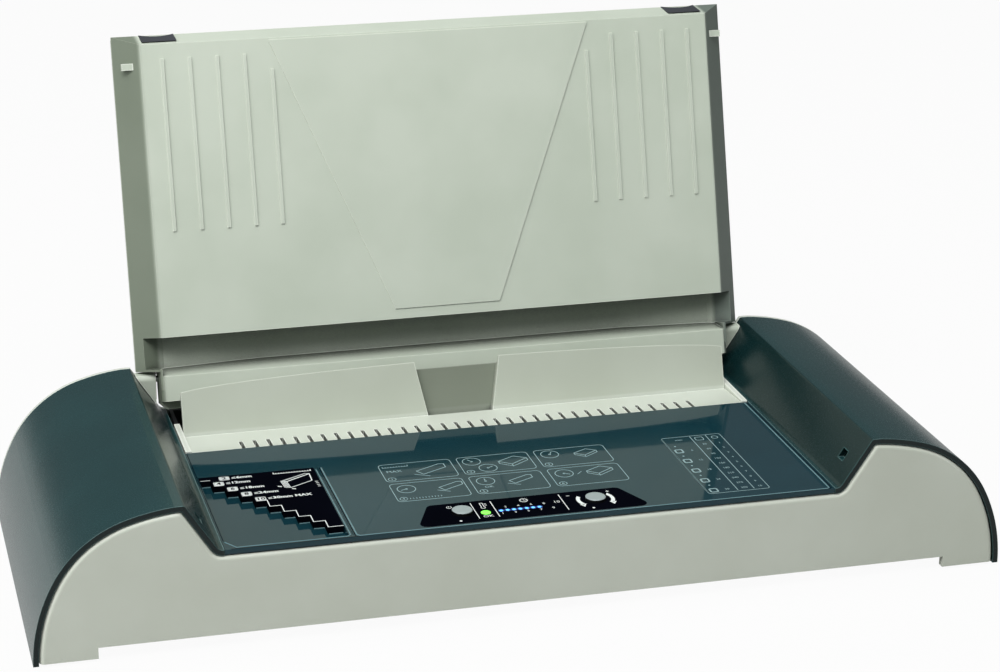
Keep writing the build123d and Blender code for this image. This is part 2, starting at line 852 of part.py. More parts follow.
def slot_guard():
    """Comb ledge and leaning wall in one moulding, with a lower tapered bay in the middle."""
    ledge = slab_x([(guard_front_y, tray_height), (guard_crease_y, crease_z),
                    (guard_crease_y + guard_wall, guard_sole), (guard_front_y, guard_sole)],
                   -guard_half, guard_half)
    wall = slab_y(guard_wall_face(), 0, guard_wall)
    bay_top = guard_end_height + guard_crown
    bay = slab_y(recess_outline(recess_side_wall) & guard_wall_face(), 0, guard_wall + recess_depth)
    bay -= slab_x([(0, bay_top), (recess_depth, bay_top - recess_drop), (beyond, bay_top - recess_drop),
                   (beyond, beyond), (0, beyond)], -beyond, beyond)
    wall += bay
    wall -= slab_y(recess_outline(0), -1, recess_depth)
    wall = Pos(0, guard_crease_y, crease_z) * Rot(-guard_lean, 0, 0) * wall
    wall -= block(-beyond, beyond, 0, beyond, -beyond, guard_sole)
    below = slab_x([(0, 0), (0, crease_z), (guard_crease_y, crease_z),
                    (guard_crease_y + guard_wall, guard_sole)], -beyond, beyond)
    guard = ledge + (wall - below)
    slots = []
    for index in range(comb_slots):
        x = (index - (comb_slots - 1) / 2) * comb_pitch
        slots.append(block(x - comb_slot_width / 2, x + comb_slot_width / 2,
                           guard_front_y - 1, guard_front_y + comb_slot_length, 0, beyond))
    guard -= slots
    tongues = block(-guard_half - tongue, guard_half + tongue, guard_front_y + 2, guard_crease_y - 1,
                    guard_sole, guard_sole + tongue_height)
    return guard + (tongues - block(-guard_half, guard_half, 0, beyond, 0, beyond))


def slot_liner():
    """Black heat-proof trough under the slot, open over the heater plate."""
    floor_low = slot_floor - liner_wall
    liner = block(-liner_half, liner_half, liner_front_y, liner_back_y, floor_low, liner_back_height)
    liner -= block(-liner_half + liner_wall, liner_half - liner_wall,
                   liner_front_y + liner_wall, liner_back_y - liner_wall, slot_floor, beyond)
    liner -= block(-beyond, beyond, 0, liner_front_y + liner_wall, beam_top, beyond)
    liner -= block(-window_half, window_half, heater_window_front_y, heater_window_back_y, 0, beyond)
    liner -= both(block(rail_half - beam_side - part_gap, beyond, 0, rail_back_y + part_gap,
                        beam_low - part_gap, beyond))
    shelf_half = rail_half - beam_side - part_gap
    shelf = block(-shelf_half, shelf_half, beam_back_y + part_gap, liner_front_y + liner_wall,
                  beam_top - liner_wall, beam_top)
    return liner + shelf


# Heater

def heater_plate():
    """Aluminium plate that the spine of the cover stands on."""
    return block(-plate_half, plate_half, plate_front_y, plate_back_y, plate_low, plate_top)


def heating_element():
    """Mica strip element under the plate."""
    half = plate_half - element_inset
    return block(-half, half, plate_front_y + element_side_inset, plate_back_y - element_side_inset,
                 element_low, plate_low)


def heater_insulation():
    """Mineral-fibre pad under the element."""
    half = plate_half - insulation_inset
    return block(-half, half, plate_front_y + insulation_side_inset, plate_back_y - insulation_side_inset,
                 insulation_low, element_low)


def heater_channel():
    """Folded steel channel that carries the heater on the base pan."""
    outer_front = plate_front_y - channel_thickness - part_gap
    outer_back = plate_back_y + channel_thickness + part_gap
    low = insulation_low - channel_thickness
    channel = block(-plate_half, plate_half, outer_front, outer_back, low, plate_low + channel_lip)
    channel -= block(-plate_half - 1, plate_half + 1, outer_front + channel_thickness,
                     outer_back - channel_thickness, insulation_low, beyond)
    x = plate_half - channel_foot
    foot = block(x - channel_foot / 2, x + channel_foot / 2, outer_front, outer_back, pan_top, low)
    foot -= block(x - channel_foot / 2 + channel_thickness, x + channel_foot / 2 - channel_thickness,
                  0, beyond, pan_top + channel_thickness, low - channel_thickness)
    return channel + both(foot)


def thermostat():
    """Bimetal control under the channel."""
    low = insulation_low - channel_thickness
    y = (plate_front_y + plate_back_y) / 2
    return rod_z(0, y, pan_top + part_gap, low, thermostat_radius)


def thermal_fuse():
    """Cut-out link under the channel."""
    low = insulation_low - channel_thickness
    y = (plate_front_y + plate_back_y) / 2
    return rod_x(fuse_x, fuse_x + bead_length, y, low - bead_radius, bead_radius)


# Cover, drawn upright with u up, x across and the inner face towards -y

def stand(shape):
    """Lean an upright cover piece back about the hinge axis."""
    return Pos(0, hinge_y, hinge_z) * Rot(-lean, 0, 0) * shape


def upright(points, u0, u1):
    """A plan given as (x, w) points, w towards the user, as a slab from u0 to u1."""
    flat = [(x, -w) for x, w in points]
    return extrude(Plane.XY.offset(u0) * make_face(Polyline(*flat, close=True)), amount=u1 - u0)


def profile(points, x0, x1):
    """A section given as (u, w) points, as a slab from x0 to x1."""
    return slab_x([(-w, u) for u, w in points], x0, x1)


def cover_taper(inset):
    """Plan of the raised inner face with its chamfered sides, drawn inwards."""
    rise = cover_face_w - cover_rim_w
    side = inset * sqrt(1 + (cover_chamfer / rise) ** 2) - inset * cover_chamfer / rise
    half_rim = cover_half - inset
    half_face = cover_face_half - side
    top = cover_face_w - inset
    return [(-half_rim, cover_rim_w), (half_rim, cover_rim_w), (half_face, top), (-half_face, top)]


def cover_end_cut(inset):
    """Everything beyond the sloping free end of the inner face."""
    rim_u = cover_length - inset
    run = cover_end_slope / (cover_face_w - cover_rim_w)
    far_w = cover_face_w + cover_length
    return profile([(rim_u, -beyond), (rim_u, cover_rim_w), (rim_u - run * (far_w - cover_rim_w), far_w),
                    (beyond, far_w), (beyond, -beyond)], -beyond, beyond)


def corner_room(inset):
    """Space at each end of the barrel that the hinge blocks need."""
    return both(block(barrel_half - inset, beyond, -beyond, beyond, -beyond, cover_corner_u + inset))


def pocket_tub(wall):
    """The pocket that the guard stands in when the cover is shut, grown by a wall."""
    mouth_w = cover_face_w + wall + 1
    right = [(pocket_deep_half, pocket_deep_w - wall),
             (pocket_corner_half + wall / 2, pocket_corner_w - wall),
             (pocket_half + wall, pocket_side_w), (pocket_half + wall, mouth_w)]
    tub = upright(right + [(-x, w) for x, w in reversed(right)], barrel_end_u, pocket_top_u + wall)
    run = (pocket_floor_u - pocket_lip_u) / (cover_face_w - pocket_deep_w)
    deep_u = pocket_floor_u - wall + run * (beyond + pocket_deep_w)
    near_u = pocket_lip_u - wall - run * (beyond - cover_face_w)
    tub -= profile([(near_u, beyond), (deep_u, -beyond), (-beyond, -beyond), (-beyond, beyond)],
                   -beyond, beyond)
    if wall:
        tub -= block(-beyond, beyond, -cover_rim_w, beyond, -beyond, cover_heel + moulding + part_gap)
    return tub


def cover_ribs():
    """Raised lines on the inner face that help to set a document straight."""
    places = [(rib_x + index * rib_pitch, rib_high_u) for index in range(rib_count)]
    places.append((inner_rib_x, inner_rib_high_u))
    top = -cover_face_w - rib_height
    low = -cover_face_w + rib_sink
    return [block(side * x - rib_width / 2, side * x + rib_width / 2, top, low, rib_low_u, high_u)
            for side in (-1, 1) for x, high_u in places]


def vee_field():
    """The slightly raised middle of the inner face, which narrows downwards."""
    low_u = pocket_top_u + vee_start
    low_half = vee_top_half - (vee_top_u - low_u) * vee_taper
    face = [(-vee_top_half, vee_top_u), (vee_top_half, vee_top_u), (low_half, low_u), (-low_half, low_u)]
    area = make_face(Polyline(*face, close=True))
    return slab_y(area, -cover_face_w - vee_height, -cover_face_w + rib_sink)


def heel_rib():
    """Rib under the right-hand end of the barrel, which shuts the gap behind the slot's end."""
    low_u = barrel_end_u - heel_rib_drop
    high_u = barrel_end_u + moulding / 2
    face = [(barrel_half - heel_rib_length, low_u), (barrel_half - heel_rib_taper, low_u),
            (barrel_half, low_u + heel_rib_rise), (barrel_half, high_u),
            (barrel_half - heel_rib_length, high_u)]
    return slab_y(make_face(Polyline(*face, close=True)), -heel_rib_front_w, -barrel_back_w)


def cover_inner_panel():
    """Pale inner moulding of the cover, with its pocket and hinge barrel."""
    outline = upright(cover_taper(0), barrel_end_u, cover_length) - cover_end_cut(0)
    solid = outline - corner_room(0)
    solid += block(-barrel_half, barrel_half, -cover_rim_w, -barrel_back_w, barrel_end_u, cover_heel)
    hollow = upright(cover_taper(moulding), barrel_end_u + moulding, cover_length)
    hollow -= cover_end_cut(moulding)
    hollow -= corner_room(moulding)
    hollow += block(-barrel_half + moulding, barrel_half - moulding, -cover_rim_w - 1, beyond,
                    cover_heel + moulding, 2 * pocket_top_u)
    panel = solid - hollow
    behind = block(-cover_half, cover_half, -cover_rim_w, cover_face_w, barrel_end_u, 2 * pocket_top_u)
    panel += (pocket_tub(moulding) & (outline + behind)) - corner_room(0)
    end = pin_in_barrel + 1
    panel += both(block(barrel_half - end, barrel_half, -cover_face_w + 1, -cover_rim_w,
                        -barrel_solid, barrel_solid))
    panel += both(heel_rib())
    panel -= pocket_tub(0) - corner_room(corner_wall)
    panel += [vee_field()] + cover_ribs()
    panel -= both(block(bumper_inner_x, bumper_inner_x + bumper_width, -cover_face_w, -cover_rim_w,
                        bumper_low_u, beyond))
    panel -= rod_x(-beyond, beyond, 0, 0, pin_radius + pin_fit)
    return stand(panel)


def cover_catch():
    """Snap tab on the right-hand chamfer, which drops into the hole of the slope."""
    tab = block(cover_face_half, catch_tip_x, -catch_w - catch_thickness / 2, -catch_w + catch_thickness / 2,
                catch_low_u, catch_high_u)
    return stand(tab - upright(cover_taper(0), 0, cover_length))


def dome_face(inset):
    """Section of the crowned outer shell, drawn inwards by an inset."""
    half = cover_half - inset
    side_y = cover_side_drop - cover_rim_w - inset
    crown_y = side_y + cover_crown
    arc = ThreePointArc((-half, side_y), (0, crown_y), (half, side_y))
    low = -cover_rim_w - 2 * inset
    face = make_face([arc, Line(arc @ 1, (half, low)), Line((half, low), (-half, low)),
                      Line((-half, low), arc @ 0)])
    return fillet(face.vertices().sort_by(Axis.Y)[-2:], cover_edge_round - inset)


def cover_outer_shell():
    """Pale crowned outside of the cover."""
    outer = extrude(Plane.XY.offset(cover_heel) * dome_face(0), amount=cover_length - cover_heel)
    ends = [edge for edge in outer.edges().filter_by(Plane.XY) if (edge @ 0.5).Y > -cover_rim_w + 0.1]
    outer = fillet(ends, cover_end_round)
    shell = outer - extrude(Plane.XY.offset(cover_heel + moulding) * dome_face(moulding),
                            amount=cover_length - cover_heel - 2 * moulding)
    shell -= corner_room(0)
    shell -= block(-barrel_half - part_gap, barrel_half + part_gap, -cover_face_w,
                   -barrel_back_w + part_gap, -beyond, cover_heel + 3 * moulding)
    return stand(shell)


def cover_bumper():
    """Dark rubber saddle let into the right-hand part of the cover's free end."""
    middle_x = bumper_inner_x + bumper_width / 2
    pad = block(bumper_inner_x + bumper_fit, bumper_inner_x + bumper_width - bumper_fit,
                -cover_face_w, -cover_rim_w, bumper_low_u + bumper_fit, beyond)
    pad -= Pos(0, 0, bumper_rise) * cover_end_cut(0)
    return stand(pad - rod_y(middle_x, -beyond, beyond, cover_length + bumper_hollow_drop,
                             bumper_hollow_radius))


# Hinge

def hinge_block():
    """Right-hand fixed knuckle beside the barrel, seated on the rear panel and the slope."""
    outer_x = crest_half + block_radius
    knuckle = rod_x(block_inner_x, outer_x, hinge_y, hinge_z, block_radius)
    knuckle += block(block_inner_x, outer_x, hinge_y, rear_panel_y, hinge_z, block_top_z)
    knuckle -= block(0, beyond, 0, beyond, block_top_z, beyond)
    body = block(block_inner_x, outer_x, hinge_y - block_radius, rear_panel_y, block_low_z, hinge_z)
    piece = (knuckle + body) & block(0, beyond, 0, rear_panel_y, 0, beyond)
    piece -= slab_y(slope_side(-part_gap), 0, body_depth)
    return piece - rod_x(0, beyond, hinge_y, hinge_z, pin_radius + screw_fit)


def hinge_pin():
    """Right-hand steel pin from the knuckle into the barrel."""
    inner = barrel_half - pin_in_barrel + 1
    return rod_x(inner, inner + pin_length, hinge_y, hinge_z, pin_radius)


def make_parts():
    """Every piece by name."""
    return {
        "base_pan": base_pan(),
        "rubber_feet": rubber_feet(),
        "case_screws": case_screws(),
        "front_panel": front_panel(),
        "rear_panel": rear_panel(),
        "side_cover_right": side_cover_right(),
        "side_cover_left": flip(side_cover_right()),
        "tray_panel": tray_panel(),
        "thickness_gauge": thickness_gauge(),
        "control_window": control_window(),
        "power_button": push_button(-button_x),
        "select_button": push_button(button_x),
        "ready_lens": lenses(False),
        "progress_lenses": lenses(True),
        "control_board": control_board(),
        "control_chip": control_chip(),
        "board_screws": board_screws(),
        "key_switches": key_switches(),
        "indicator_leds": indicator_leds(),
        "buzzer": buzzer(),
        "power_board": power_board(),
        "power_components": power_components(),
        "mains_inlet": mains_inlet(),
        "slot_frame": slot_frame(),
        "slot_guard": slot_guard(),
        "slot_liner": slot_liner(),
        "heater_plate": heater_plate(),
        "heating_element": heating_element(),
        "heater_insulation": heater_insulation(),
        "heater_channel": heater_channel(),
        "thermostat": thermostat(),
        "thermal_fuse": thermal_fuse(),
        "cover_inner_panel": cover_inner_panel(),
        "cover_outer_shell": cover_outer_shell(),
        "cover_catch_left": flip(cover_catch()),
        "cover_catch_right": cover_catch(),
        "cover_bumper_left": flip(cover_bumper()),
        "cover_bumper_right": cover_bumper(),
        "hinge_block_left": flip(hinge_block()),
        "hinge_block_right": hinge_block(),
        "hinge_pin_left": flip(hinge_pin()),
        "hinge_pin_right": hinge_pin(),
    }


def middle_y(parts):
    """Middle of the whole machine from front to back, with the cover open."""
    boxes = [shape.bounding_box() for shape in parts.values()]
    return (min(box.min.Y for box in boxes) + max(box.max.Y for box in boxes)) / 2


def placed(shape, shift):
    """A piece moved to the part's own origin, as one solid or one group."""
    solids = [Pos(0, shift, 0) * solid for solid in shape.solids()]
    return solids[0] if len(solids) == 1 else Compound(solids)


parts = make_parts()
origin_shift = -middle_y(parts)
os.makedirs("parts", exist_ok=True)
for name, shape in parts.items():
    export_step(placed(shape, origin_shift), f"parts/{name}.step")
print("origin shift", round(origin_shift, 3))
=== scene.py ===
"""Looks of the thermal binding machine: finishes, printed graphics and studio."""
import json
from math import cos, radians, sin

import bmesh
import bpy
from mathutils import Matrix, Vector


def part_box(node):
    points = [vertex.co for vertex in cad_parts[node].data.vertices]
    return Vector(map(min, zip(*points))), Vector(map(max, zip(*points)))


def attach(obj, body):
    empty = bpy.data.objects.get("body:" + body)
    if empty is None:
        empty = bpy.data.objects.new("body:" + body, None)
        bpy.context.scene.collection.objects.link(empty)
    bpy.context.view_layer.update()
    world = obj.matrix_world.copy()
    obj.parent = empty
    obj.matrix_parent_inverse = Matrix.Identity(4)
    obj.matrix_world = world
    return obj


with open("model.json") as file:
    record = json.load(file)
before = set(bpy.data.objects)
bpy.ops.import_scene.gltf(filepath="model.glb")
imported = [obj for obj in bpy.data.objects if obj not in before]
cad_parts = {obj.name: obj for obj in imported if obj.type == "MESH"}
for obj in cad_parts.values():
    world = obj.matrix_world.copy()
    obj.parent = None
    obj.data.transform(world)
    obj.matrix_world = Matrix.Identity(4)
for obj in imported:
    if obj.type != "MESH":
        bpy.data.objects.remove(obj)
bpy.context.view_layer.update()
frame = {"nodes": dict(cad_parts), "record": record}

MM = 0.001
nodes = frame["nodes"]

# Places that the machine's own pieces give, in metres
front_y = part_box("front_panel")[0][1]
tray_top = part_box("tray_panel")[1][2]
button_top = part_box("power_button")[1][2]


def at(x, y, z=None):
    """A point from millimetres across, millimetres behind the front face and metres up."""
    return Vector((x * MM, front_y + y * MM, tray_top if z is None else z))


# Colour and material tools

def linear(hex_colour):
    """An sRGB hex colour as linear red, green, blue and alpha."""
    channels = [int(hex_colour[i:i + 2], 16) / 255 for i in (1, 3, 5)]
    return [c / 12.92 if c <= 0.04045 else ((c + 0.055) / 1.055) ** 2.4 for c in channels] + [1.0]


def add(tree, kind, settings=None, links=None, **attributes):
    """Adds a node with its attributes, input values and incoming links."""
    node = tree.nodes.new(kind)
    for name, value in attributes.items():
        setattr(node, name, value)
    for socket, value in (settings or {}).items():
        node.inputs[socket].default_value = value
    for socket, source in (links or {}).items():
        tree.links.new(source, node.inputs[socket])
    return node


def new_material(name):
    """An empty node material with its tree and shader."""
    material = bpy.data.materials.new(name)
    material.use_nodes = True
    tree = material.node_tree
    tree.nodes.clear()
    shader = add(tree, "ShaderNodeBsdfPrincipled")
    add(tree, "ShaderNodeOutputMaterial", links={"Surface": shader.outputs["BSDF"]})
    return material, tree, shader


def blended(tree, first, second, measure, start, end, blend="MIX", easing="LINEAR"):
    """Goes from the first colour to the second as a measure passes from start to end.

    A colour is a hex string or another node's output.
    """
    share = add(tree, "ShaderNodeMapRange", {"From Min": start, "From Max": end}, {"Value": measure},
                interpolation_type=easing)
    mix = add(tree, "ShaderNodeMix", links={"Factor": share.outputs["Result"]}, data_type="RGBA",
              blend_type=blend)
    for socket, colour in (("A", first), ("B", second)):
        if isinstance(colour, str):
            mix.inputs[socket].default_value = linear(colour)
        else:
            tree.links.new(colour, mix.inputs[socket])
    return mix.outputs["Result"]


# Most of a noise pattern's values lie between these
NOISE_LOW, NOISE_HIGH = 0.3, 0.7
LEAST_ROUGHNESS = 0.01


def vary_roughness(tree, shader, pattern, roughness, drift):
    """Lets the roughness drift about its value with a pattern."""
    spread = add(tree, "ShaderNodeMapRange",
                 {"From Min": NOISE_LOW, "From Max": NOISE_HIGH, "To Max": roughness + drift,
                  "To Min": max(roughness - drift, LEAST_ROUGHNESS)}, {"Value": pattern})
    tree.links.new(spread.outputs["Result"], shader.inputs["Roughness"])


# Size of the slow drift in a moulding's colour, and the pattern's values at its dark and its light end
COLOUR_DRIFT_MM = 60.0
DARK_END, LIGHT_END = 0.35, 0.65
# How strongly a moulding's grain shows, and how far it moves the roughness
GRAIN_STRENGTH, GRAIN_DRIFT = 0.5, 0.04
# Rays with which a point looks round for walls and edges
LOOK_ROUND = 8
# Share of open room over a point deep in a slot, and over one that is hardly shut in
SHUT_IN, OPEN = 0.30, 0.62
RECESS_SHADE = "#2a2d2a"
# How well a surface agrees with its surroundings' direction where it is flat, and on a rolled edge
FLAT, ROLLED = 0.995, 0.93


def moulded(name, light, dark, roughness, grain_mm, grain_height_mm, specular=0.5,
            recess_mm=0.0, edge_mm=0.0, edge_highlight="#ffffff"):
    """Moulded plastic: an even colour with slow variation and a spark-eroded grain of the given size.

    With a recess size, slots and corners up to that deep are darkened as painted shade.
    With an edge size, rounded edges of that radius turn to a lighter colour of their own as a painted
    highlight.
    """
    material, tree, shader = new_material(name)
    place = add(tree, "ShaderNodeTexCoord").outputs["Object"]
    slow = add(tree, "ShaderNodeTexNoise",
               {"Scale": 1 / (COLOUR_DRIFT_MM * MM), "Detail": 3.0, "Roughness": 0.5},
               {"Vector": place}).outputs["Fac"]
    fine = add(tree, "ShaderNodeTexNoise", {"Scale": 1 / (grain_mm * MM), "Detail": 2.0, "Roughness": 0.6},
               {"Vector": place}).outputs["Fac"]
    colour = blended(tree, dark, light, slow, DARK_END, LIGHT_END)
    # Painted shade: the more a point is shut in by its own walls, the darker its colour
    if recess_mm:
        openness = add(tree, "ShaderNodeAmbientOcclusion", {"Distance": recess_mm * MM}, only_local=True,
                       samples=LOOK_ROUND).outputs["AO"]
        colour = blended(tree, colour, RECESS_SHADE, openness, OPEN, SHUT_IN, "MULTIPLY")
    # Painted highlight: edges rounded within the edge size turn lighter
    if edge_mm:
        rolled = add(tree, "ShaderNodeBevel", {"Radius": edge_mm * MM}, samples=LOOK_ROUND).outputs["Normal"]
        own = add(tree, "ShaderNodeNewGeometry").outputs["Normal"]
        agreement = add(tree, "ShaderNodeVectorMath", links={0: rolled, 1: own},
                        operation="DOT_PRODUCT").outputs["Value"]
        colour = blended(tree, colour, edge_highlight, agreement, FLAT, ROLLED, easing="SMOOTHSTEP")
    tree.links.new(colour, shader.inputs["Base Color"])
    vary_roughness(tree, shader, fine, roughness, GRAIN_DRIFT)
    bump = add(tree, "ShaderNodeBump", {"Strength": GRAIN_STRENGTH, "Distance": grain_height_mm * MM},
               {"Height": fine})
    tree.links.new(bump.outputs["Normal"], shader.inputs["Normal"])
    shader.inputs["Specular IOR Level"].default_value = specular
    return material


# Size of the flecks of wear in a smooth finish, drawn coarser than real ones, and what they do to roughness
PLAIN_FLECK_MM, PLAIN_DRIFT = 0.6, 0.03


def plain(name, colour, roughness, metallic=0.0, emission=None, strength=0.0):
    """A smooth finish whose roughness drifts slightly from place to place."""
    material, tree, shader = new_material(name)
    place = add(tree, "ShaderNodeTexCoord").outputs["Object"]
    flecks = add(tree, "ShaderNodeTexNoise", {"Scale": 1 / (PLAIN_FLECK_MM * MM), "Detail": 2.0},
                 {"Vector": place}).outputs["Fac"]
    vary_roughness(tree, shader, flecks, roughness, PLAIN_DRIFT)
    shader.inputs["Base Color"].default_value = linear(colour)
    shader.inputs["Metallic"].default_value = metallic
    if emission:
        shader.inputs["Emission Color"].default_value = linear(emission)
        shader.inputs["Emission Strength"].default_value = strength
    return material


# How far the paint on a button's top runs down its rim, and the size of the flecks in it
CAP_PAINT_DEPTH = 0.35 * MM
CAP_FLECK_MM = 0.5
CAP_METALLIC = 0.2


def capped(name, top_colour, side_colour, roughness):
    """A button moulded in one colour whose flat top is painted in another."""
    material, tree, shader = new_material(name)
    place = add(tree, "ShaderNodeTexCoord").outputs["Object"]
    height = add(tree, "ShaderNodeSeparateXYZ", links={"Vector": place}).outputs["Z"]
    painted = add(tree, "ShaderNodeMath", {1: button_top - CAP_PAINT_DEPTH}, {0: height},
                  operation="GREATER_THAN").outputs["Value"]
    colour = blended(tree, side_colour, top_colour, painted, 0.0, 1.0)
    tree.links.new(colour, shader.inputs["Base Color"])
    flecks = add(tree, "ShaderNodeTexNoise", {"Scale": 1 / (CAP_FLECK_MM * MM), "Detail": 2.0},
                 {"Vector": place}).outputs["Fac"]
    vary_roughness(tree, shader, flecks, roughness, GRAIN_DRIFT)
    shader.inputs["Metallic"].default_value = CAP_METALLIC
    return material


def tone_where(material, measure, start, end, tone, blend="MULTIPLY"):
    """Blends a material's colour with a tone as a measure, built by a function, goes from start to end."""
    tree = material.node_tree
    base = tree.nodes["Principled BSDF"].inputs["Base Color"]
    colour = base.links[0].from_socket
    tree.links.new(blended(tree, colour, tone, measure(tree), start, end, blend, "SMOOTHSTEP"), base)


# Measures of a surface point, for toning

def distance(direction, start=(0.0, 0.0, 0.0)):
    """Measures how far a point lies from a start along a direction, in metres."""
    def measure(tree):
        place = add(tree, "ShaderNodeTexCoord").outputs["Object"]
        from_start = add(tree, "ShaderNodeVectorMath", {1: tuple(start)}, {0: place}, operation="SUBTRACT")
        return add(tree, "ShaderNodeVectorMath", {1: direction}, {0: from_start.outputs["Vector"]},
                   operation="DOT_PRODUCT").outputs["Value"]
    return measure


def facing_front(tree):
    """Measures how squarely a surface faces the front: 1 where it does, 0 where it is level or sideways."""
    normal = add(tree, "ShaderNodeTexCoord").outputs["Normal"]
    return add(tree, "ShaderNodeVectorMath", {1: (0, -1, 0)}, {0: normal},
               operation="DOT_PRODUCT").outputs["Value"]


def inward_lean(tree):
    """Measures how far a wall faces the machine's middle, times its distance from there in metres."""
    point = add(tree, "ShaderNodeTexCoord")
    facing = add(tree, "ShaderNodeVectorMath", links={0: point.outputs["Object"], 1: point.outputs["Normal"]},
                 operation="MULTIPLY")
    return add(tree, "ShaderNodeVectorMath", {1: (-1, 0, 0)}, {0: facing.outputs["Vector"]},
               operation="DOT_PRODUCT").outputs["Value"]


# Finishes of the machine

# Real grains are about a tenth of a millimetre or finer, too fine to show, so these are drawn coarser
SPARK_GRAIN = {"grain_mm": 0.7, "grain_height_mm": 0.02}
POLISHED_GRAIN = {"grain_mm": 0.5, "grain_height_mm": 0.001}

# Warm grey ABS, moulded against a fine spark-eroded steel: soft highlights and an even stone colour, with
# painted shade in its recesses and a painted highlight on its rounded edges
PALE_ABS = moulded("warm_grey_ABS_spark_texture", "#c1c6bb", "#bbc0b4", roughness=0.46, **SPARK_GRAIN,
                   recess_mm=4.0, edge_mm=3.0, edge_highlight="#dfe3da")
# The front panel's ABS, whose rolled rim is painted lighter than its grained face as a painted highlight,
# with painted shade in its recesses
FRONT_ABS = moulded("warm_grey_ABS_front_panel", "#c1c6bb", "#bbc0b4", roughness=0.46, **SPARK_GRAIN,
                    recess_mm=4.0)
# The same ABS a shade warmer, as the cover's moulding came out of another tool; its rounded edges get a
# painted highlight
COVER_ABS = moulded("stone_grey_ABS_spark_texture", "#c0c8ba", "#b8c1b2", roughness=0.48, **SPARK_GRAIN,
                    edge_mm=1.0, edge_highlight="#dadfd4")
# Its inner half, whose slanted flanks are painted darker as painted shade, with painted shade in its pocket
# and corners and a painted highlight on its edges
INNER_ABS = moulded("stone_grey_ABS_inner_face", "#c0c8ba", "#b8c1b2", roughness=0.48, **SPARK_GRAIN,
                    recess_mm=26.0, edge_mm=0.7, edge_highlight="#d6dccf")
# The guard's ABS, with a darker face at the bottom of its bay, painted shade in its slots and a painted
# highlight on its edges
GUARD_ABS = moulded("warm_grey_ABS_with_dark_bay", "#c4cabf", "#bec4b8", roughness=0.46, **SPARK_GRAIN,
                    recess_mm=5.5, edge_mm=0.8, edge_highlight="#eaeee5")
# Blue-grey ABS from a polished tool: it picks up the room at its edges, where a painted highlight is added
# too, and has painted shade in its recesses
SHELL_ABS = moulded("slate_grey_ABS_satin", "#1a383a", "#183436", roughness=0.25, grain_mm=0.5,
                    grain_height_mm=0.004, specular=0.32, recess_mm=3.0, edge_mm=0.8, edge_highlight="#6d8888")
# Tinted acrylic-faced panel, almost a mirror at low angles
TRAY_GLOSS = moulded("slate_grey_acrylic_polished", "#12333c", "#102f37", roughness=0.05, **POLISHED_GRAIN,
                     specular=0.35)
# Polycarbonate overlay printed solid black on its face: it swallows the light
BLACK_OVERLAY = moulded("black_polycarbonate_overlay", "#06070e", "#04050a", roughness=0.3, **POLISHED_GRAIN,
                        specular=0.0)
# Black heat-proof nylon inside the slot: dull, with a rough grain
BLACK_NYLON = moulded("black_glass_filled_nylon", "#1a1b1d", "#141517", roughness=0.55, grain_mm=0.9,
                      grain_height_mm=0.03)
# Black ABS buttons with a satin silver coat on their tops
SILVER = capped("silver_painted_ABS_black_skirt", "#9aa5a6", "#0b0c0e", roughness=0.34)
# Dark grey moulded rubber: no shine
RUBBER = moulded("charcoal_rubber_moulded", "#33363c", "#2b2e33", roughness=0.62, grain_mm=0.8,
                 grain_height_mm=0.03)
# Clear acrylic lenses with a lamp behind each, and the glow around the blue ones
GREEN_GLOW = plain("green_lit_acrylic", "#6fe84a", 0.25, emission="#6cf048", strength=1.1)
BLUE_GLOW = plain("blue_lit_acrylic", "#4aa8ff", 0.25, emission="#62b4ff", strength=1.6)
BLUE_HALO = plain("blue_lit_overlay", "#06143a", 0.3, emission="#0a4ad0", strength=0.35)
# Screen inks: a faint one on the tray and an opaque white one on black
PRINT = plain("pale_screen_ink", "#8aa3a5", 0.25)
WHITE_PRINT = plain("white_screen_ink", "#e0e5e3", 0.3)
# The tray's acrylic at its rolled edge, where it catches the lamps as a fine light line, coloured lighter
# than the tray as a painted highlight
GLOSSY_BEAD_HIGHLIGHT = plain("slate_grey_acrylic_edge_with_painted_highlight", "#5f7d82", 0.12)
# Inner parts: solder resist, epoxy mouldings, milled plate, pressed mica, felt, zinc plate and ground rod
GREEN_BOARD = plain("green_solder_resist_on_epoxy_glass", "#1d5a38", 0.35)
BLACK_PART = plain("black_epoxy_moulding", "#202124", 0.45)
ALUMINIUM = plain("milled_aluminium", "#c8cacc", 0.3, metallic=1.0)
MICA = plain("pressed_mica_sheet", "#b7a888", 0.5)
FIBRE = plain("white_mineral_fibre_felt", "#e4e0d4", 0.9)
ZINC = plain("zinc_plated_steel", "#aeb2b5", 0.35, metallic=1.0)
STEEL = plain("ground_steel_rod", "#c0c2c4", 0.25, metallic=1.0)

FINISHES = {
    "pale_abs": PALE_ABS, "warm_grey_abs": COVER_ABS, "dark_gloss_abs": SHELL_ABS, "tray_gloss": TRAY_GLOSS,
    "black_print": BLACK_OVERLAY, "black_heatproof": BLACK_NYLON, "silver_button": SILVER,
    "green_lens": GREEN_GLOW, "blue_lens": BLUE_GLOW, "dark_rubber": RUBBER, "board": GREEN_BOARD,
    "component": BLACK_PART, "aluminium": ALUMINIUM, "mica": MICA, "mineral_fibre": FIBRE,
    "zinc_steel": ZINC, "pin_steel": STEEL,
}
OWN_FINISHES = {"cover_inner_panel": INNER_ABS, "slot_guard": GUARD_ABS, "front_panel": FRONT_ABS}

# Where the cover's flanks begin, across from the middle
FLANK_START, FLANK_END = 167.4 * MM, 170.6 * MM
# Painted shade: the left flank is darkened, and the right flank darker still
tone_where(INNER_ABS, distance((-1, 0, 0)), FLANK_START, FLANK_END, "#9da29a")
tone_where(INNER_ABS, distance((1, 0, 0)), FLANK_START, FLANK_END, "#8c9394")

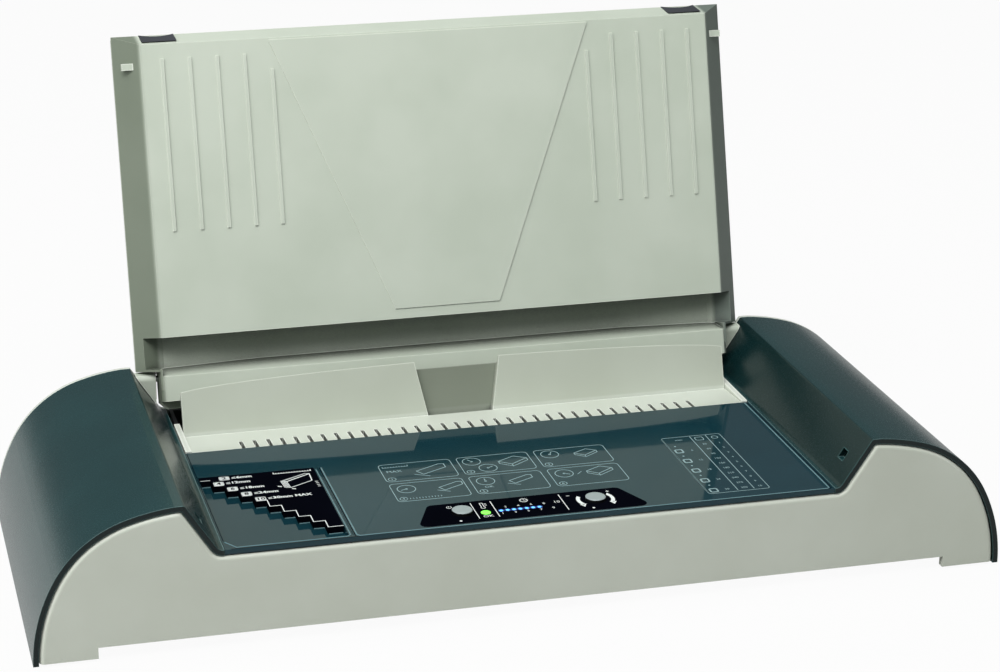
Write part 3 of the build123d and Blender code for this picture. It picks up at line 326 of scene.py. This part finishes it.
# The guard's wall leans back from a crease behind its ledge, and its bay lies behind the wall's face
GUARD_LEAN = radians(19)
GUARD_CREASE = at(0, 158.0, tray_top - 2.1 * MM)
INTO_GUARD = (0, cos(GUARD_LEAN), -sin(GUARD_LEAN))
# The face at the bottom of the bay is toned darker than the wall
tone_where(GUARD_ABS, distance(INTO_GUARD, GUARD_CREASE), 2.8 * MM, 3.4 * MM, "#adb0aa")
# Painted shade: the wall above the ledge is a shade darker than the ledge, which faces up into the light
tone_where(GUARD_ABS, distance((0, 0, 1), GUARD_CREASE), 1.4 * MM, 2.6 * MM, "#f0f1ed")

# Painted light on the front panel and end covers: a painted highlight on the front panel's rolled rim,
# painted shade on the end covers' inner slopes, a painted reflection on their outer walls and painted shade
# on their front rims
# Painted highlight: surfaces that turn away from the front, as on the rolled rim, are lightened
tone_where(FRONT_ABS, facing_front, 0.98, 0.90, "#464743", "ADD")
# Painted shade: inner slopes that face the middle are darkened
tone_where(SHELL_ABS, inward_lean, 0.030, 0.080, "#8fb0b0")
# Painted reflection: outer walls that face away from the middle are lightened
tone_where(SHELL_ABS, inward_lean, -0.150, -0.235, "#2a3331", "ADD")
# Painted shade: front rims that face the front are darkened
tone_where(SHELL_ABS, facing_front, 0.90, 0.98, "#70807f")


def dress_nodes():
    """Gives every carried-over node its finish."""
    for row in frame["record"]["subparts"]:
        mesh = nodes[row["node"]].data
        mesh.materials.clear()
        mesh.materials.append(OWN_FINISHES.get(row["node"], FINISHES[row["material_slot"]]))


# Radius of the mouldings' edges, in millimetres
EDGE_RADII = {
    "front_panel": 0.4, "rear_panel": 0.4, "side_cover_left": 0.7, "side_cover_right": 0.7, "tray_panel": 0.4,
    "slot_guard": 0.5, "slot_frame": 0.4, "cover_inner_panel": 0.6, "cover_outer_shell": 0.5,
    "cover_catch_left": 0.5, "cover_catch_right": 0.5, "cover_bumper_left": 0.5, "cover_bumper_right": 0.5,
    "hinge_block_left": 0.6, "hinge_block_right": 0.6, "control_window": 0.15, "thickness_gauge": 0.2,
    "mains_inlet": 0.4, "power_button": 0.2, "select_button": 0.2,
}
SHARP_EDGE = radians(32)


def soften_edges():
    """Rounds the sharp edges of the mouldings, as their tools leave them."""
    for name, radius in EDGE_RADII.items():
        bevel = nodes[name].modifiers.new("edge_round", "BEVEL")
        bevel.width = radius * MM
        bevel.segments = 2
        bevel.limit_method = "ANGLE"
        bevel.angle_limit = SHARP_EDGE
        bevel.use_clamp_overlap = True
        bevel.harden_normals = False


dress_nodes()
soften_edges()


# Screen-printed graphics: thin closed layers of ink, drawn in millimetres like the places above

INK = 0.03 * MM
SEAT = -0.02 * MM


def layer(ink, outline, lift=0.0):
    """A closed layer of ink over an outline of (x, y) points, lifted by some millimetres."""
    low = [ink.verts.new(at(x, y) + Vector((0, 0, SEAT + lift * MM))) for x, y in outline]
    high = [ink.verts.new(at(x, y) + Vector((0, 0, INK + lift * MM))) for x, y in outline]
    ink.faces.new(high)
    ink.faces.new(low[::-1])
    for index in range(len(outline)):
        after = (index + 1) % len(outline)
        ink.faces.new((low[index], low[after], high[after], high[index]))


SHARPEST_MITRE = 0.3


def line(ink, points, width, closed=False, lift=0.0, height=INK, crown=1.0):
    """A line of even width through (x, y) points, with mitred corners and a top as narrow as its crown."""
    points = [Vector(point) for point in points]
    last = len(points) - 1
    stations = []
    for index, point in enumerate(points):
        before = points[index - 1] if closed or index > 0 else None
        after = points[(index + 1) % len(points)] if closed or index < last else None
        arriving = (point - before).normalized() if before is not None else (after - point).normalized()
        leaving = (after - point).normalized() if after is not None else arriving
        across = (arriving + leaving).normalized().orthogonal()
        reach = width / 2 / max(across.dot(arriving.orthogonal()), SHARPEST_MITRE)
        section = ((reach, SEAT), (reach * crown, height), (-reach * crown, height), (-reach, SEAT))
        stations.append([ink.verts.new(at(*(point + across * offset)) + Vector((0, 0, rise + lift * MM)))
                         for offset, rise in section])
    pairs = list(zip(stations, stations[1:]))
    if closed:
        pairs.append((stations[-1], stations[0]))
    else:
        ink.faces.new(stations[0][::-1])
        ink.faces.new(stations[-1])
    for here, there in pairs:
        for side in range(4):
            after = (side + 1) % 4
            ink.faces.new((here[side], here[after], there[after], there[side]))


def arc(x, y, radius, start=0.0, end=360.0, steps=24):
    """Points along an arc from one angle to another in degrees, left open at a full circle's end."""
    count = steps if end - start >= 360 else steps + 1
    angles = [radians(start + (end - start) * index / steps) for index in range(count)]
    return [(x + radius * cos(angle), y + radius * sin(angle)) for angle in angles]


def rounded(x0, x1, y0, y1, radius):
    """Points of a rectangle with rounded corners."""
    corners = ((x1 - radius, y1 - radius, 0), (x0 + radius, y1 - radius, 90),
               (x0 + radius, y0 + radius, 180), (x1 - radius, y0 + radius, 270))
    return [point for x, y, turn in corners for point in arc(x, y, radius, turn, turn + 90, 5)]


def shifted(points, x, y, size=1.0):
    """Points drawn about (0, 0), scaled and moved to (x, y)."""
    return [(x + size * u, y + size * v) for u, v in points]


# Share of the font's size that its capitals are high
CAPITAL_SHARE = 0.70


def lettering(ink, text, x, y, height, align="LEFT", stretch=1.0, lift=0.0, weight=0.0):
    """Text with capitals of the given height, its left end or its middle at (x, y)."""
    curve = bpy.data.curves.new("lettering", "FONT")
    curve.body = text
    curve.align_x = align
    curve.align_y = "CENTER"
    curve.resolution_u = 2
    curve.offset = weight
    size = height / CAPITAL_SHARE * MM
    curve.extrude = (INK - SEAT) / 2 / size
    holder = bpy.data.objects.new("lettering", curve)
    mesh = bpy.data.meshes.new_from_object(holder)
    middle = Vector((0, 0, (INK + SEAT) / 2 + lift * MM))
    mesh.transform(Matrix.Translation(at(x, y) + middle) @ Matrix.Diagonal((size * stretch, size, size, 1)))
    ink.from_mesh(mesh)
    bpy.data.meshes.remove(mesh)
    bpy.data.objects.remove(holder)
    bpy.data.curves.remove(curve)


RULER_END, RULER_TICK = 1.8, 1.1


def ruler(ink, left, right, y, divisions, width, tick_width):
    """A ruler with its ends turned up and ticks between them."""
    line(ink, [(left, y + RULER_END), (left, y), (right, y), (right, y + RULER_END)], width)
    for tick in range(1, divisions):
        x = left + tick * (right - left) / divisions
        line(ink, [(x, y), (x, y + RULER_TICK)], tick_width)


# Corners of a print this close together become one
WELD = 0.0005 * MM


def printed(name, draw, finish):
    """A print on the case, drawn by a function."""
    ink = bmesh.new()
    draw(ink)
    bmesh.ops.remove_doubles(ink, verts=ink.verts, dist=WELD)
    bmesh.ops.recalc_face_normals(ink, faces=ink.faces)
    mesh = bpy.data.meshes.new(name)
    ink.to_mesh(mesh)
    ink.free()
    mesh.materials.append(finish)
    piece = bpy.data.objects.new(name, mesh)
    bpy.context.scene.collection.objects.link(piece)
    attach(piece, "body")


# Thickness gauge: one step for each 3 mm of document, with a number of sheets of spine at every second one

gauge_low, gauge_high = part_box("thickness_gauge")
gauge_left, gauge_right = gauge_low[0] / MM, gauge_high[0] / MM
gauge_front = (gauge_low[1] - front_y) / MM
STEP_ACROSS, STEP_BACK = 6.14, 8.22
GAUGE_STEPS = 10
# How far the feet of the risers lie under the steps' tops
GAUGE_DROP = -3.7
first_step_y = gauge_front + (GAUGE_STEPS - 1) * STEP_BACK

LABELS = ((2, "6mm"), (4, "12mm"), (6, "18mm"), (8, "24mm"), (10, "30mm MAX"))
FIRST_LABEL_DX, FIRST_LABEL_Y = 13.7, 90.4
LABEL_DX, LABEL_DY = STEP_ACROSS * 0.57, 3.1
MARK_HALF_WIDE, MARK_HALF_DEEP, MARK_ROUND = 2.5, 2.0, 0.6
LABEL_GAP, LABEL_HEIGHT, NUMBER_HEIGHT = 3.8, 2.7, 2.9
# Lifts the black numbers clear of the white marks under them
NUMBER_LIFT = 0.045


def step_corner(step):
    """The left end of a step's front edge."""
    return gauge_left + step * STEP_ACROSS, first_step_y - step * STEP_BACK


def label_places():
    """The middle of each label's spine mark."""
    places = [(gauge_left + FIRST_LABEL_DX, FIRST_LABEL_Y)]
    for step in range(1, len(LABELS)):
        x, y = step_corner(step)
        places.append((x + LABEL_DX, y + LABEL_DY))
    return places


def gauge_labels(ink):
    """A white spine mark and the thickness that it takes, on every step of the upper half."""
    for (_, label), (x, y) in zip(LABELS, label_places()):
        mark = rounded(x - MARK_HALF_WIDE, x + MARK_HALF_WIDE, y - MARK_HALF_DEEP, y + MARK_HALF_DEEP,
                       MARK_ROUND)
        line(ink, mark, 0.7, closed=True)
        layer(ink, mark)
        lettering(ink, "\u2264" + label, x + LABEL_GAP, y, LABEL_HEIGHT, stretch=1.1, weight=0.03)


def step_edges(ink):
    """White lines along the steps' edges: a run down the lower half and dashes above."""
    x, y = step_corner(len(LABELS) - 1)
    edge = [(x + 0.6, y + 0.6), (x + STEP_ACROSS + 0.3, y + 0.6)]
    for step in range(len(LABELS), GAUGE_STEPS):
        x, y = step_corner(step)
        end_x = gauge_right - 0.4 if step == GAUGE_STEPS - 1 else x + STEP_ACROSS
        edge += [(x + 0.3, y + 0.6), (end_x + 0.3, y + 0.6)]
    line(ink, edge, 0.5)
    for step in range(len(LABELS) - 1):
        x, y = step_corner(step)
        line(ink, [(x + 0.6, y + 0.5), (x + STEP_ACROSS - 0.3, y + 0.5)], 0.45)


SHEETS_CORNER = (-121.6, 79.0)
SHEET_PITCH = (0.75, -0.2)
STROKES_START, STROKE_PITCH = (-103.6, 75.4), 2.2


def gauge_document(ink):
    """A ruler over a slanted stack of sheets whose end is shaded."""
    ruler(ink, -123.6, -103.0, 90.2, 14, 0.55, 0.4)
    left, top = SHEETS_CORNER
    line(ink, [SHEETS_CORNER, (-106.8, 86.9), (-104.6, 86.4), (-104.9, 77.0)], 0.6)
    line(ink, [(-118.0, 70.0), (-104.9, 77.0)], 0.5)
    for index in range(5):
        x, y = left + index * SHEET_PITCH[0], top + index * SHEET_PITCH[1]
        line(ink, [(x, y), (x + 0.7, y - 8.4)], 0.4)
    line(ink, [(-121.2, 79.6), (-118.8, 78.4), (-105.2, 85.9), (-106.8, 87.1)], 0.8, closed=True)
    line(ink, [(-124.5, 73.4), (-122.4, 72.4)], 0.9)
    line(ink, [(-117.6, 68.6), (-115.6, 67.8)], 0.9)
    for index in range(4):
        x, y = STROKES_START[0] + index * 0.1, STROKES_START[1] - index * STROKE_PITCH
        line(ink, [(x, y), (x + 1.6, y - 0.4)], 0.5)


def gauge_marks(ink):
    """White labels, step edges, ruler and a document on the gauge."""
    gauge_labels(ink)
    step_edges(ink)
    gauge_document(ink)


def gauge_numbers(ink):
    """Black numbers on the white spine marks."""
    for (number, _), (x, y) in zip(LABELS, label_places()):
        lettering(ink, str(number), x, y, NUMBER_HEIGHT, align="CENTER", stretch=1.2, lift=NUMBER_LIFT,
                  weight=0.02)


def riser_feet(ink):
    """The thin moulded line at the foot of every step's riser, coloured lighter than the tray as a painted
    highlight.
    """
    for step in range(GAUGE_STEPS):
        x, y = step_corner(step)
        end_x = gauge_right - 0.3 if step == GAUGE_STEPS - 1 else x + STEP_ACROSS
        line(ink, [(x + 0.3, y - 0.35), (end_x - 0.2, y - 0.35)], 0.5, lift=GAUGE_DROP, height=0.3 * MM,
             crown=0.4)


# Edges and joints of the tray's plates

TRAY_BACK = 128.8
GROOVE_BACK = 92.6


def tray_beads(ink):
    """Rolled edges of the tray's big plate and of its plate around the gauge, coloured lighter than the tray
    as a painted highlight.
    """
    line(ink, [(163.6, TRAY_BACK - 0.4), (163.6, 2.6), (162.4, 1.5), (-95.2, 1.5), (-96.6, 2.9),
               (-96.6, GROOVE_BACK)], 0.9, height=0.22 * MM, crown=0.35)
    line(ink, [(-99.8, 91.0), (-99.8, 4.0), (-101.6, 2.2), (-159.6, 2.2), (-164.6, 9.6)],
         0.7, height=0.16 * MM, crown=0.35)


def tray_seams(ink):
    """Dark joints between the tray's plates and the case."""
    line(ink, [(164.9, TRAY_BACK), (164.9, 2.4), (163.2, 0.75), (-162.6, 0.75)], 0.45)
    line(ink, [(-97.6, GROOVE_BACK), (-97.6, 1.6)], 0.5)
    line(ink, [(-165.1, 11.0), (-165.1, TRAY_BACK)], 0.4)


# Control window

BUTTON_X, BUTTON_Y = 36.7, 17.2
READY_X = -24.6
BLUE_FIRST_X, BLUE_PITCH, BLUE_Y, BLUE_COUNT = -16.1, 3.5, 14.6, 7
SEPARATORS = (-29.7, -18.8, 19.0)
DIGIT = 1.9
CLOCK_X, CLOCK_Y = -1.0, 24.6
SWITCH_MARK_X, SWITCH_MARK_Y = -41.9, 24.8
DOT_Y = 6.7


def scale_numbers(ink):
    """Numbers by turns over and under the blue lamps, and on past them."""
    for index in range(BLUE_COUNT):
        x, y = BLUE_FIRST_X + index * BLUE_PITCH, BLUE_Y + (4.2 if index % 2 else -3.5)
        lettering(ink, str(index + 1), x, y, DIGIT, align="CENTER")
    lettering(ink, "8", 8.3, 18.2, DIGIT, align="CENTER")
    lettering(ink, "9", 11.9, 11.7, 2.2, align="CENTER")
    lettering(ink, "10", 15.5, 18.6, 2.4, align="CENTER", stretch=1.1)


def thermometer(ink):
    """A thermometer with three ticks over the green lens, and the lens's own word under it."""
    line(ink, arc(-24.3, 20.6, 1.15, -230, 50, 12) + [(-23.55, 26.2), (-25.05, 26.2)], 0.4, closed=True)
    for step in range(3):
        y = 22.8 + step * 1.2
        line(ink, [(-22.9, y), (-21.7, y)], 0.35)
    lettering(ink, "OK", READY_X + 0.2, 9.4, 2.5, align="CENTER", stretch=1.1)


ARROW_REACH, ARROW_THICK = 10.4, 3.2


def turning_arrows(ink):
    """A swept arrow each side of the right button."""
    for side, turn in ((-1, 180), (1, 0)):
        outer = arc(BUTTON_X, BUTTON_Y, ARROW_REACH, turn - 34, turn + 38, 10)
        inner = arc(BUTTON_X + side * 1.2, BUTTON_Y, ARROW_REACH - ARROW_THICK, turn - 34, turn + 34, 10)
        layer(ink, outer + inner[::-1])
        tip = (BUTTON_X + side * 8.2, BUTTON_Y - 8.2)
        outer_barb = (BUTTON_X + side * 10.2, BUTTON_Y - 5.0)
        inner_barb = (BUTTON_X + side * 6.4, BUTTON_Y - 4.4)
        layer(ink, [outer_barb, tip, inner_barb] if side < 0 else [inner_barb, tip, outer_barb])


def plus_and_minus(ink):
    """A minus behind the left arrow and a plus behind the right one."""
    line(ink, [(22.6, 24.6), (24.4, 24.6)], 0.45)
    line(ink, [(45.0, 25.6), (46.8, 25.6)], 0.45)
    line(ink, [(45.9, 26.6), (45.9, 24.6)], 0.45)


def window_marks(ink):
    """White separators, numbers, clock, thermometer, switch mark and arrows on the control window."""
    for x in SEPARATORS:
        line(ink, [(x, 7.4), (x, 27.4)], 0.45)
    scale_numbers(ink)
    line(ink, arc(CLOCK_X, CLOCK_Y, 2.0), 0.5, closed=True)
    line(ink, [(CLOCK_X, CLOCK_Y + 1.4), (CLOCK_X, CLOCK_Y), (CLOCK_X + 1.0, CLOCK_Y - 0.6)], 0.3)
    thermometer(ink)
    line(ink, arc(SWITCH_MARK_X, SWITCH_MARK_Y, 1.3, 125, 415, 12), 0.35)
    line(ink, [(SWITCH_MARK_X, SWITCH_MARK_Y + 2.0), (SWITCH_MARK_X, SWITCH_MARK_Y + 0.2)], 0.35)
    for x in (-BUTTON_X - 3.4, BUTTON_X - 4.2):
        layer(ink, arc(x, DOT_Y, 0.75, steps=12))
    turning_arrows(ink)
    plus_and_minus(ink)


def lamp_halos(ink):
    """The glow that each blue lamp leaves in the overlay around its lens."""
    for index in range(BLUE_COUNT):
        line(ink, arc(BLUE_FIRST_X + index * BLUE_PITCH, BLUE_Y, 1.35, steps=16), 0.7, closed=True)


# Faint pictograms and a table on the tray

FRAME_LEFTS = (-66.0, -21.8, 22.6)
FRAME_FRONTS = (64.6, 37.8)
FRAME_WIDE, FRAME_DEEP, FRAME_ROUND = 40.4, 23.6, 2.6
SYMBOL_INSET = 8.0


def pages(ink, x, y, size=1.0):
    """A bound document seen from a corner."""
    line(ink, shifted([(-8, 2), (2, 7.5), (8.5, 3.5), (-1.5, -3)], x, y, size), 0.5, closed=True)
    line(ink, shifted([(-8, 2), (-8, -1), (-1.5, -6), (-1.5, -3)], x, y, size), 0.45)
    line(ink, shifted([(-1.5, -6), (8.5, 0.5), (8.5, 3.5)], x, y, size), 0.45)


def sheets(ink, x, y, size=1.0):
    """A leaning stack of sheets over the slot."""
    line(ink, shifted([(-8, 0), (6, 7), (9, 6.5), (9, 2), (-5, -5)], x, y, size), 0.5, closed=True)
    line(ink, shifted([(-10, -4), (-2, -8)], x, y, size), 0.45)


def dial(ink, x, y, hand):
    """A dial with its hand at an angle in degrees."""
    line(ink, arc(x, y, 5.0), 0.45, closed=True)
    line(ink, [(x, y), (x + 3.4 * cos(radians(hand)), y + 3.4 * sin(radians(hand)))], 0.5)
    layer(ink, arc(x, y, 0.8, steps=10))


def pictogram_frames(ink):
    """Six rounded frames, each with its number in a ring."""
    places = [(left, front) for front in FRAME_FRONTS for left in FRAME_LEFTS]
    for number, (left, front) in enumerate(places, 1):
        line(ink, rounded(left, left + FRAME_WIDE, front, front + FRAME_DEEP, FRAME_ROUND), 0.4, closed=True)
        ring_x, ring_y = left + 3.6, front + 3.4
        line(ink, arc(ring_x, ring_y, 2.1, steps=16), 0.4, closed=True)
        lettering(ink, str(number), ring_x, ring_y, 2.2, align="CENTER")


def tray_marks(ink):
    """Six numbered pictograms of generic binding steps."""
    pictogram_frames(ink)
    first, second, third = (left + SYMBOL_INSET for left in FRAME_LEFTS)
    back, front = (low + FRAME_DEEP / 2 for low in FRAME_FRONTS)
    # 1: measure the sheets
    ruler(ink, first - 6, first + 8, back + 7.4, 9, 0.4, 0.3)
    lettering(ink, "MAX", first - 5.4, back + 1.6, 2.6, stretch=1.1)
    sheets(ink, first + 19, back - 0.5)
    # 2: choose the cover
    dial(ink, second - 0.5, back + 5.2, 120)
    dial(ink, second + 6.2, back - 5.2, 30)
    pages(ink, second + 22, back)
    # 3: switch on
    dial(ink, third, back + 5, 60)
    pages(ink, third + 20, back + 2, 0.8)
    # 4: put the sheets in
    dial(ink, first, front + 4, 200)
    sheets(ink, first + 24, front + 2, 0.8)
    for tooth in range(12):
        x = first - 2.5 + tooth * 1.7
        line(ink, [(x, front - 9.6), (x, front - 8.0)], 0.35)
    # 5: wait for the light
    dial(ink, second, front + 4.4, 90)
    lettering(ink, "OK", second - 2.6, front - 3.4, 2.4)
    sheets(ink, second + 19, front + 2, 0.8)
    # 6: take the document out
    dial(ink, third, front + 4.4, 330)
    pages(ink, third + 20, front + 3, 0.9)
    line(ink, [(third + 10, front + 5), (third + 7, front + 2)], 0.4)


TABLE_LEFT, TABLE_RIGHT, TABLE_FRONT, TABLE_BACK, TABLE_ROUND = 98.0, 132.6, 9.4, 88.2, 1.6
TABLE_DIVIDERS = (114.8, 124.1)
# Where each row lies, and the most sheets that its spine takes
SPINES = ((68.6, 60), (54.6, 120), (40.9, 180), (27.0, 240), (13.4, 300))
SPINE_X, WIDTH_X, SHEETS_X, STEP_X = 102.0, 109.6, 119.4, 128.3
HALF_ROW = 6.8
TABLE_DIGIT = 1.8
HEAD_Y = 83.6


def table_marks(ink):
    """A table of spine widths and numbers of sheets."""
    line(ink, rounded(TABLE_LEFT, TABLE_RIGHT, TABLE_FRONT, TABLE_BACK, TABLE_ROUND), 0.4, closed=True)
    line(ink, [(TABLE_LEFT, TABLE_FRONT + TABLE_ROUND), (TABLE_LEFT, TABLE_BACK - TABLE_ROUND)], 0.7)
    for x in TABLE_DIVIDERS:
        line(ink, [(x, TABLE_FRONT + 1.4), (x, TABLE_BACK - 0.6)], 0.45)
    for row, (y, most) in enumerate(SPINES):
        line(ink, rounded(SPINE_X - 2.0, SPINE_X + 2.0, y - 2.2, y + 2.2, 0.8), 0.9, closed=True)
        layer(ink, arc(SPINE_X, y + 7.0, 0.6, steps=10))
        entries = ((6 * (row + 1), WIDTH_X, y), (most - 30, SHEETS_X, y + HALF_ROW), (most, SHEETS_X, y),
                   (2 * row + 1, STEP_X, y + HALF_ROW), (2 * row + 2, STEP_X, y))
        for number, x, entry_y in entries:
            lettering(ink, str(number), x, entry_y, TABLE_DIGIT, align="CENTER")
    lettering(ink, "mm", 107.0, HEAD_Y + 0.4, 2.0, align="CENTER")
    line(ink, rounded(SHEETS_X - 2.6, SHEETS_X + 2.0, HEAD_Y - 2.2, HEAD_Y + 2.2, 1.0), 0.45, closed=True)
    line(ink, arc(STEP_X, HEAD_Y, 1.8, steps=16), 0.45, closed=True)


PRINTS = (
    ("gauge_print", gauge_marks, WHITE_PRINT, "pale_abs"),
    ("gauge_number_print", gauge_numbers, BLACK_OVERLAY, "black_print"),
    ("window_print", window_marks, WHITE_PRINT, "pale_abs"),
    ("lamp_halo_print", lamp_halos, BLUE_HALO, "blue_lens"),
    ("tray_pictogram_print", tray_marks, PRINT, "tray_gloss"),
    ("tray_table_print", table_marks, PRINT, "tray_gloss"),
    ("gauge_riser_feet", riser_feet, GLOSSY_BEAD_HIGHLIGHT, "tray_gloss"),
    ("tray_edge_beads", tray_beads, GLOSSY_BEAD_HIGHLIGHT, "tray_gloss"),
    ("tray_seams", tray_seams, BLACK_OVERLAY, "black_print"),
)
for print_name, drawing, ink_finish, ink_slot in PRINTS:
    printed(print_name, drawing, ink_finish)


# Studio

CAMERA_PLACE = at(-353.62, -1151.17, 0.60059)
CAMERA_DIP, CAMERA_TURN = 20.848, -13.536
CAMERA_LENS, CAMERA_SHIFT = 90.685, (0.1037, 0.0266)
# Name, place, size and power of each softbox, in metres and watts
SOFTBOXES = (
    ("key_softbox", (-0.75, -1.15, 1.95), (2.3, 1.0), 58),
    ("side_softbox", (-1.9, -0.6, 0.9), (0.9, 1.1), 9),
    ("top_softbox", (0.1, 0.4, 2.0), (1.6, 0.8), 14),
)
LIT_POINT = Vector((0, 0, 0.1))
# Share of plain white that the camera and the reflections see in the floor and the room
FLOOR_SEEN, FLOOR_MIRRORED, ROOM_MIRRORED = 0.95, 0.25, 0.09
ROOM_STRENGTH = 0.14


def camera():
    """The camera, turned a little from the left and down."""
    data = bpy.data.cameras.new("camera")
    data.sensor_width = 36.0
    data.lens = CAMERA_LENS
    data.shift_x, data.shift_y = CAMERA_SHIFT
    data.clip_end = 50.0
    holder = bpy.data.objects.new("camera", data)
    holder.location = CAMERA_PLACE
    holder.rotation_euler = (radians(90 - CAMERA_DIP), 0, radians(CAMERA_TURN))
    bpy.context.scene.collection.objects.link(holder)
    bpy.context.scene.camera = holder


def softbox(name, place, size, power):
    """A rectangular softbox that faces the machine."""
    data = bpy.data.lights.new(name, "AREA")
    data.shape = "RECTANGLE"
    data.size, data.size_y = size
    data.energy = power
    holder = bpy.data.objects.new(name, data)
    holder.location = place
    holder.rotation_euler = (LIT_POINT - Vector(place)).to_track_quat("-Z", "Y").to_euler()
    bpy.context.scene.collection.objects.link(holder)


def floor():
    """A pale paper floor that keeps the shadow."""
    bpy.ops.mesh.primitive_plane_add(size=12, location=(0, 0, 0))
    plane = bpy.context.object
    plane.name = "studio_floor"
    material = bpy.data.materials.new("pale_paper_floor")
    material.use_nodes = True
    tree = material.node_tree
    tree.nodes.clear()
    paper = add(tree, "ShaderNodeBsdfDiffuse", {"Color": linear("#b8b8b6")})
    white = add(tree, "ShaderNodeEmission", {"Color": linear("#ffffff"), "Strength": 1.0})
    path = add(tree, "ShaderNodeLightPath")
    mirrored = add(tree, "ShaderNodeMath", {1: FLOOR_MIRRORED}, {0: path.outputs["Is Glossy Ray"]},
                   operation="MULTIPLY")
    share = add(tree, "ShaderNodeMath", {1: FLOOR_SEEN},
                {0: path.outputs["Is Camera Ray"], 2: mirrored.outputs[0]}, operation="MULTIPLY_ADD")
    mix = add(tree, "ShaderNodeMixShader", links={"Fac": share.outputs[0], 1: paper.outputs[0],
                                                  2: white.outputs[0]})
    add(tree, "ShaderNodeOutputMaterial", links={"Surface": mix.outputs[0]})
    plane.data.materials.append(material)


def room():
    """A dim, even room that the camera sees as white."""
    world = bpy.data.worlds.new("studio_world")
    bpy.context.scene.world = world
    world.use_nodes = True
    tree = world.node_tree
    tree.nodes.clear()
    path = add(tree, "ShaderNodeLightPath")
    dim = add(tree, "ShaderNodeBackground", {"Color": linear("#e4f0f0"), "Strength": ROOM_STRENGTH})
    white = add(tree, "ShaderNodeBackground", {"Color": linear("#ffffff"), "Strength": 1.0})
    seen = add(tree, "ShaderNodeMath", links={0: path.outputs["Is Camera Ray"],
                                              1: path.outputs["Is Transmission Ray"]}, operation="MAXIMUM")
    share = add(tree, "ShaderNodeMath", {1: ROOM_MIRRORED},
                {0: path.outputs["Is Glossy Ray"], 2: seen.outputs[0]}, operation="MULTIPLY_ADD")
    mix = add(tree, "ShaderNodeMixShader", links={"Fac": share.outputs[0], 1: dim.outputs[0],
                                                  2: white.outputs[0]})
    add(tree, "ShaderNodeOutputWorld", links={"Surface": mix.outputs[0]})


bpy.context.scene.view_settings.view_transform = "Standard"
camera()
floor()
room()
for box_name, box_place, box_size, box_power in SOFTBOXES:
    softbox(box_name, box_place, box_size, box_power)
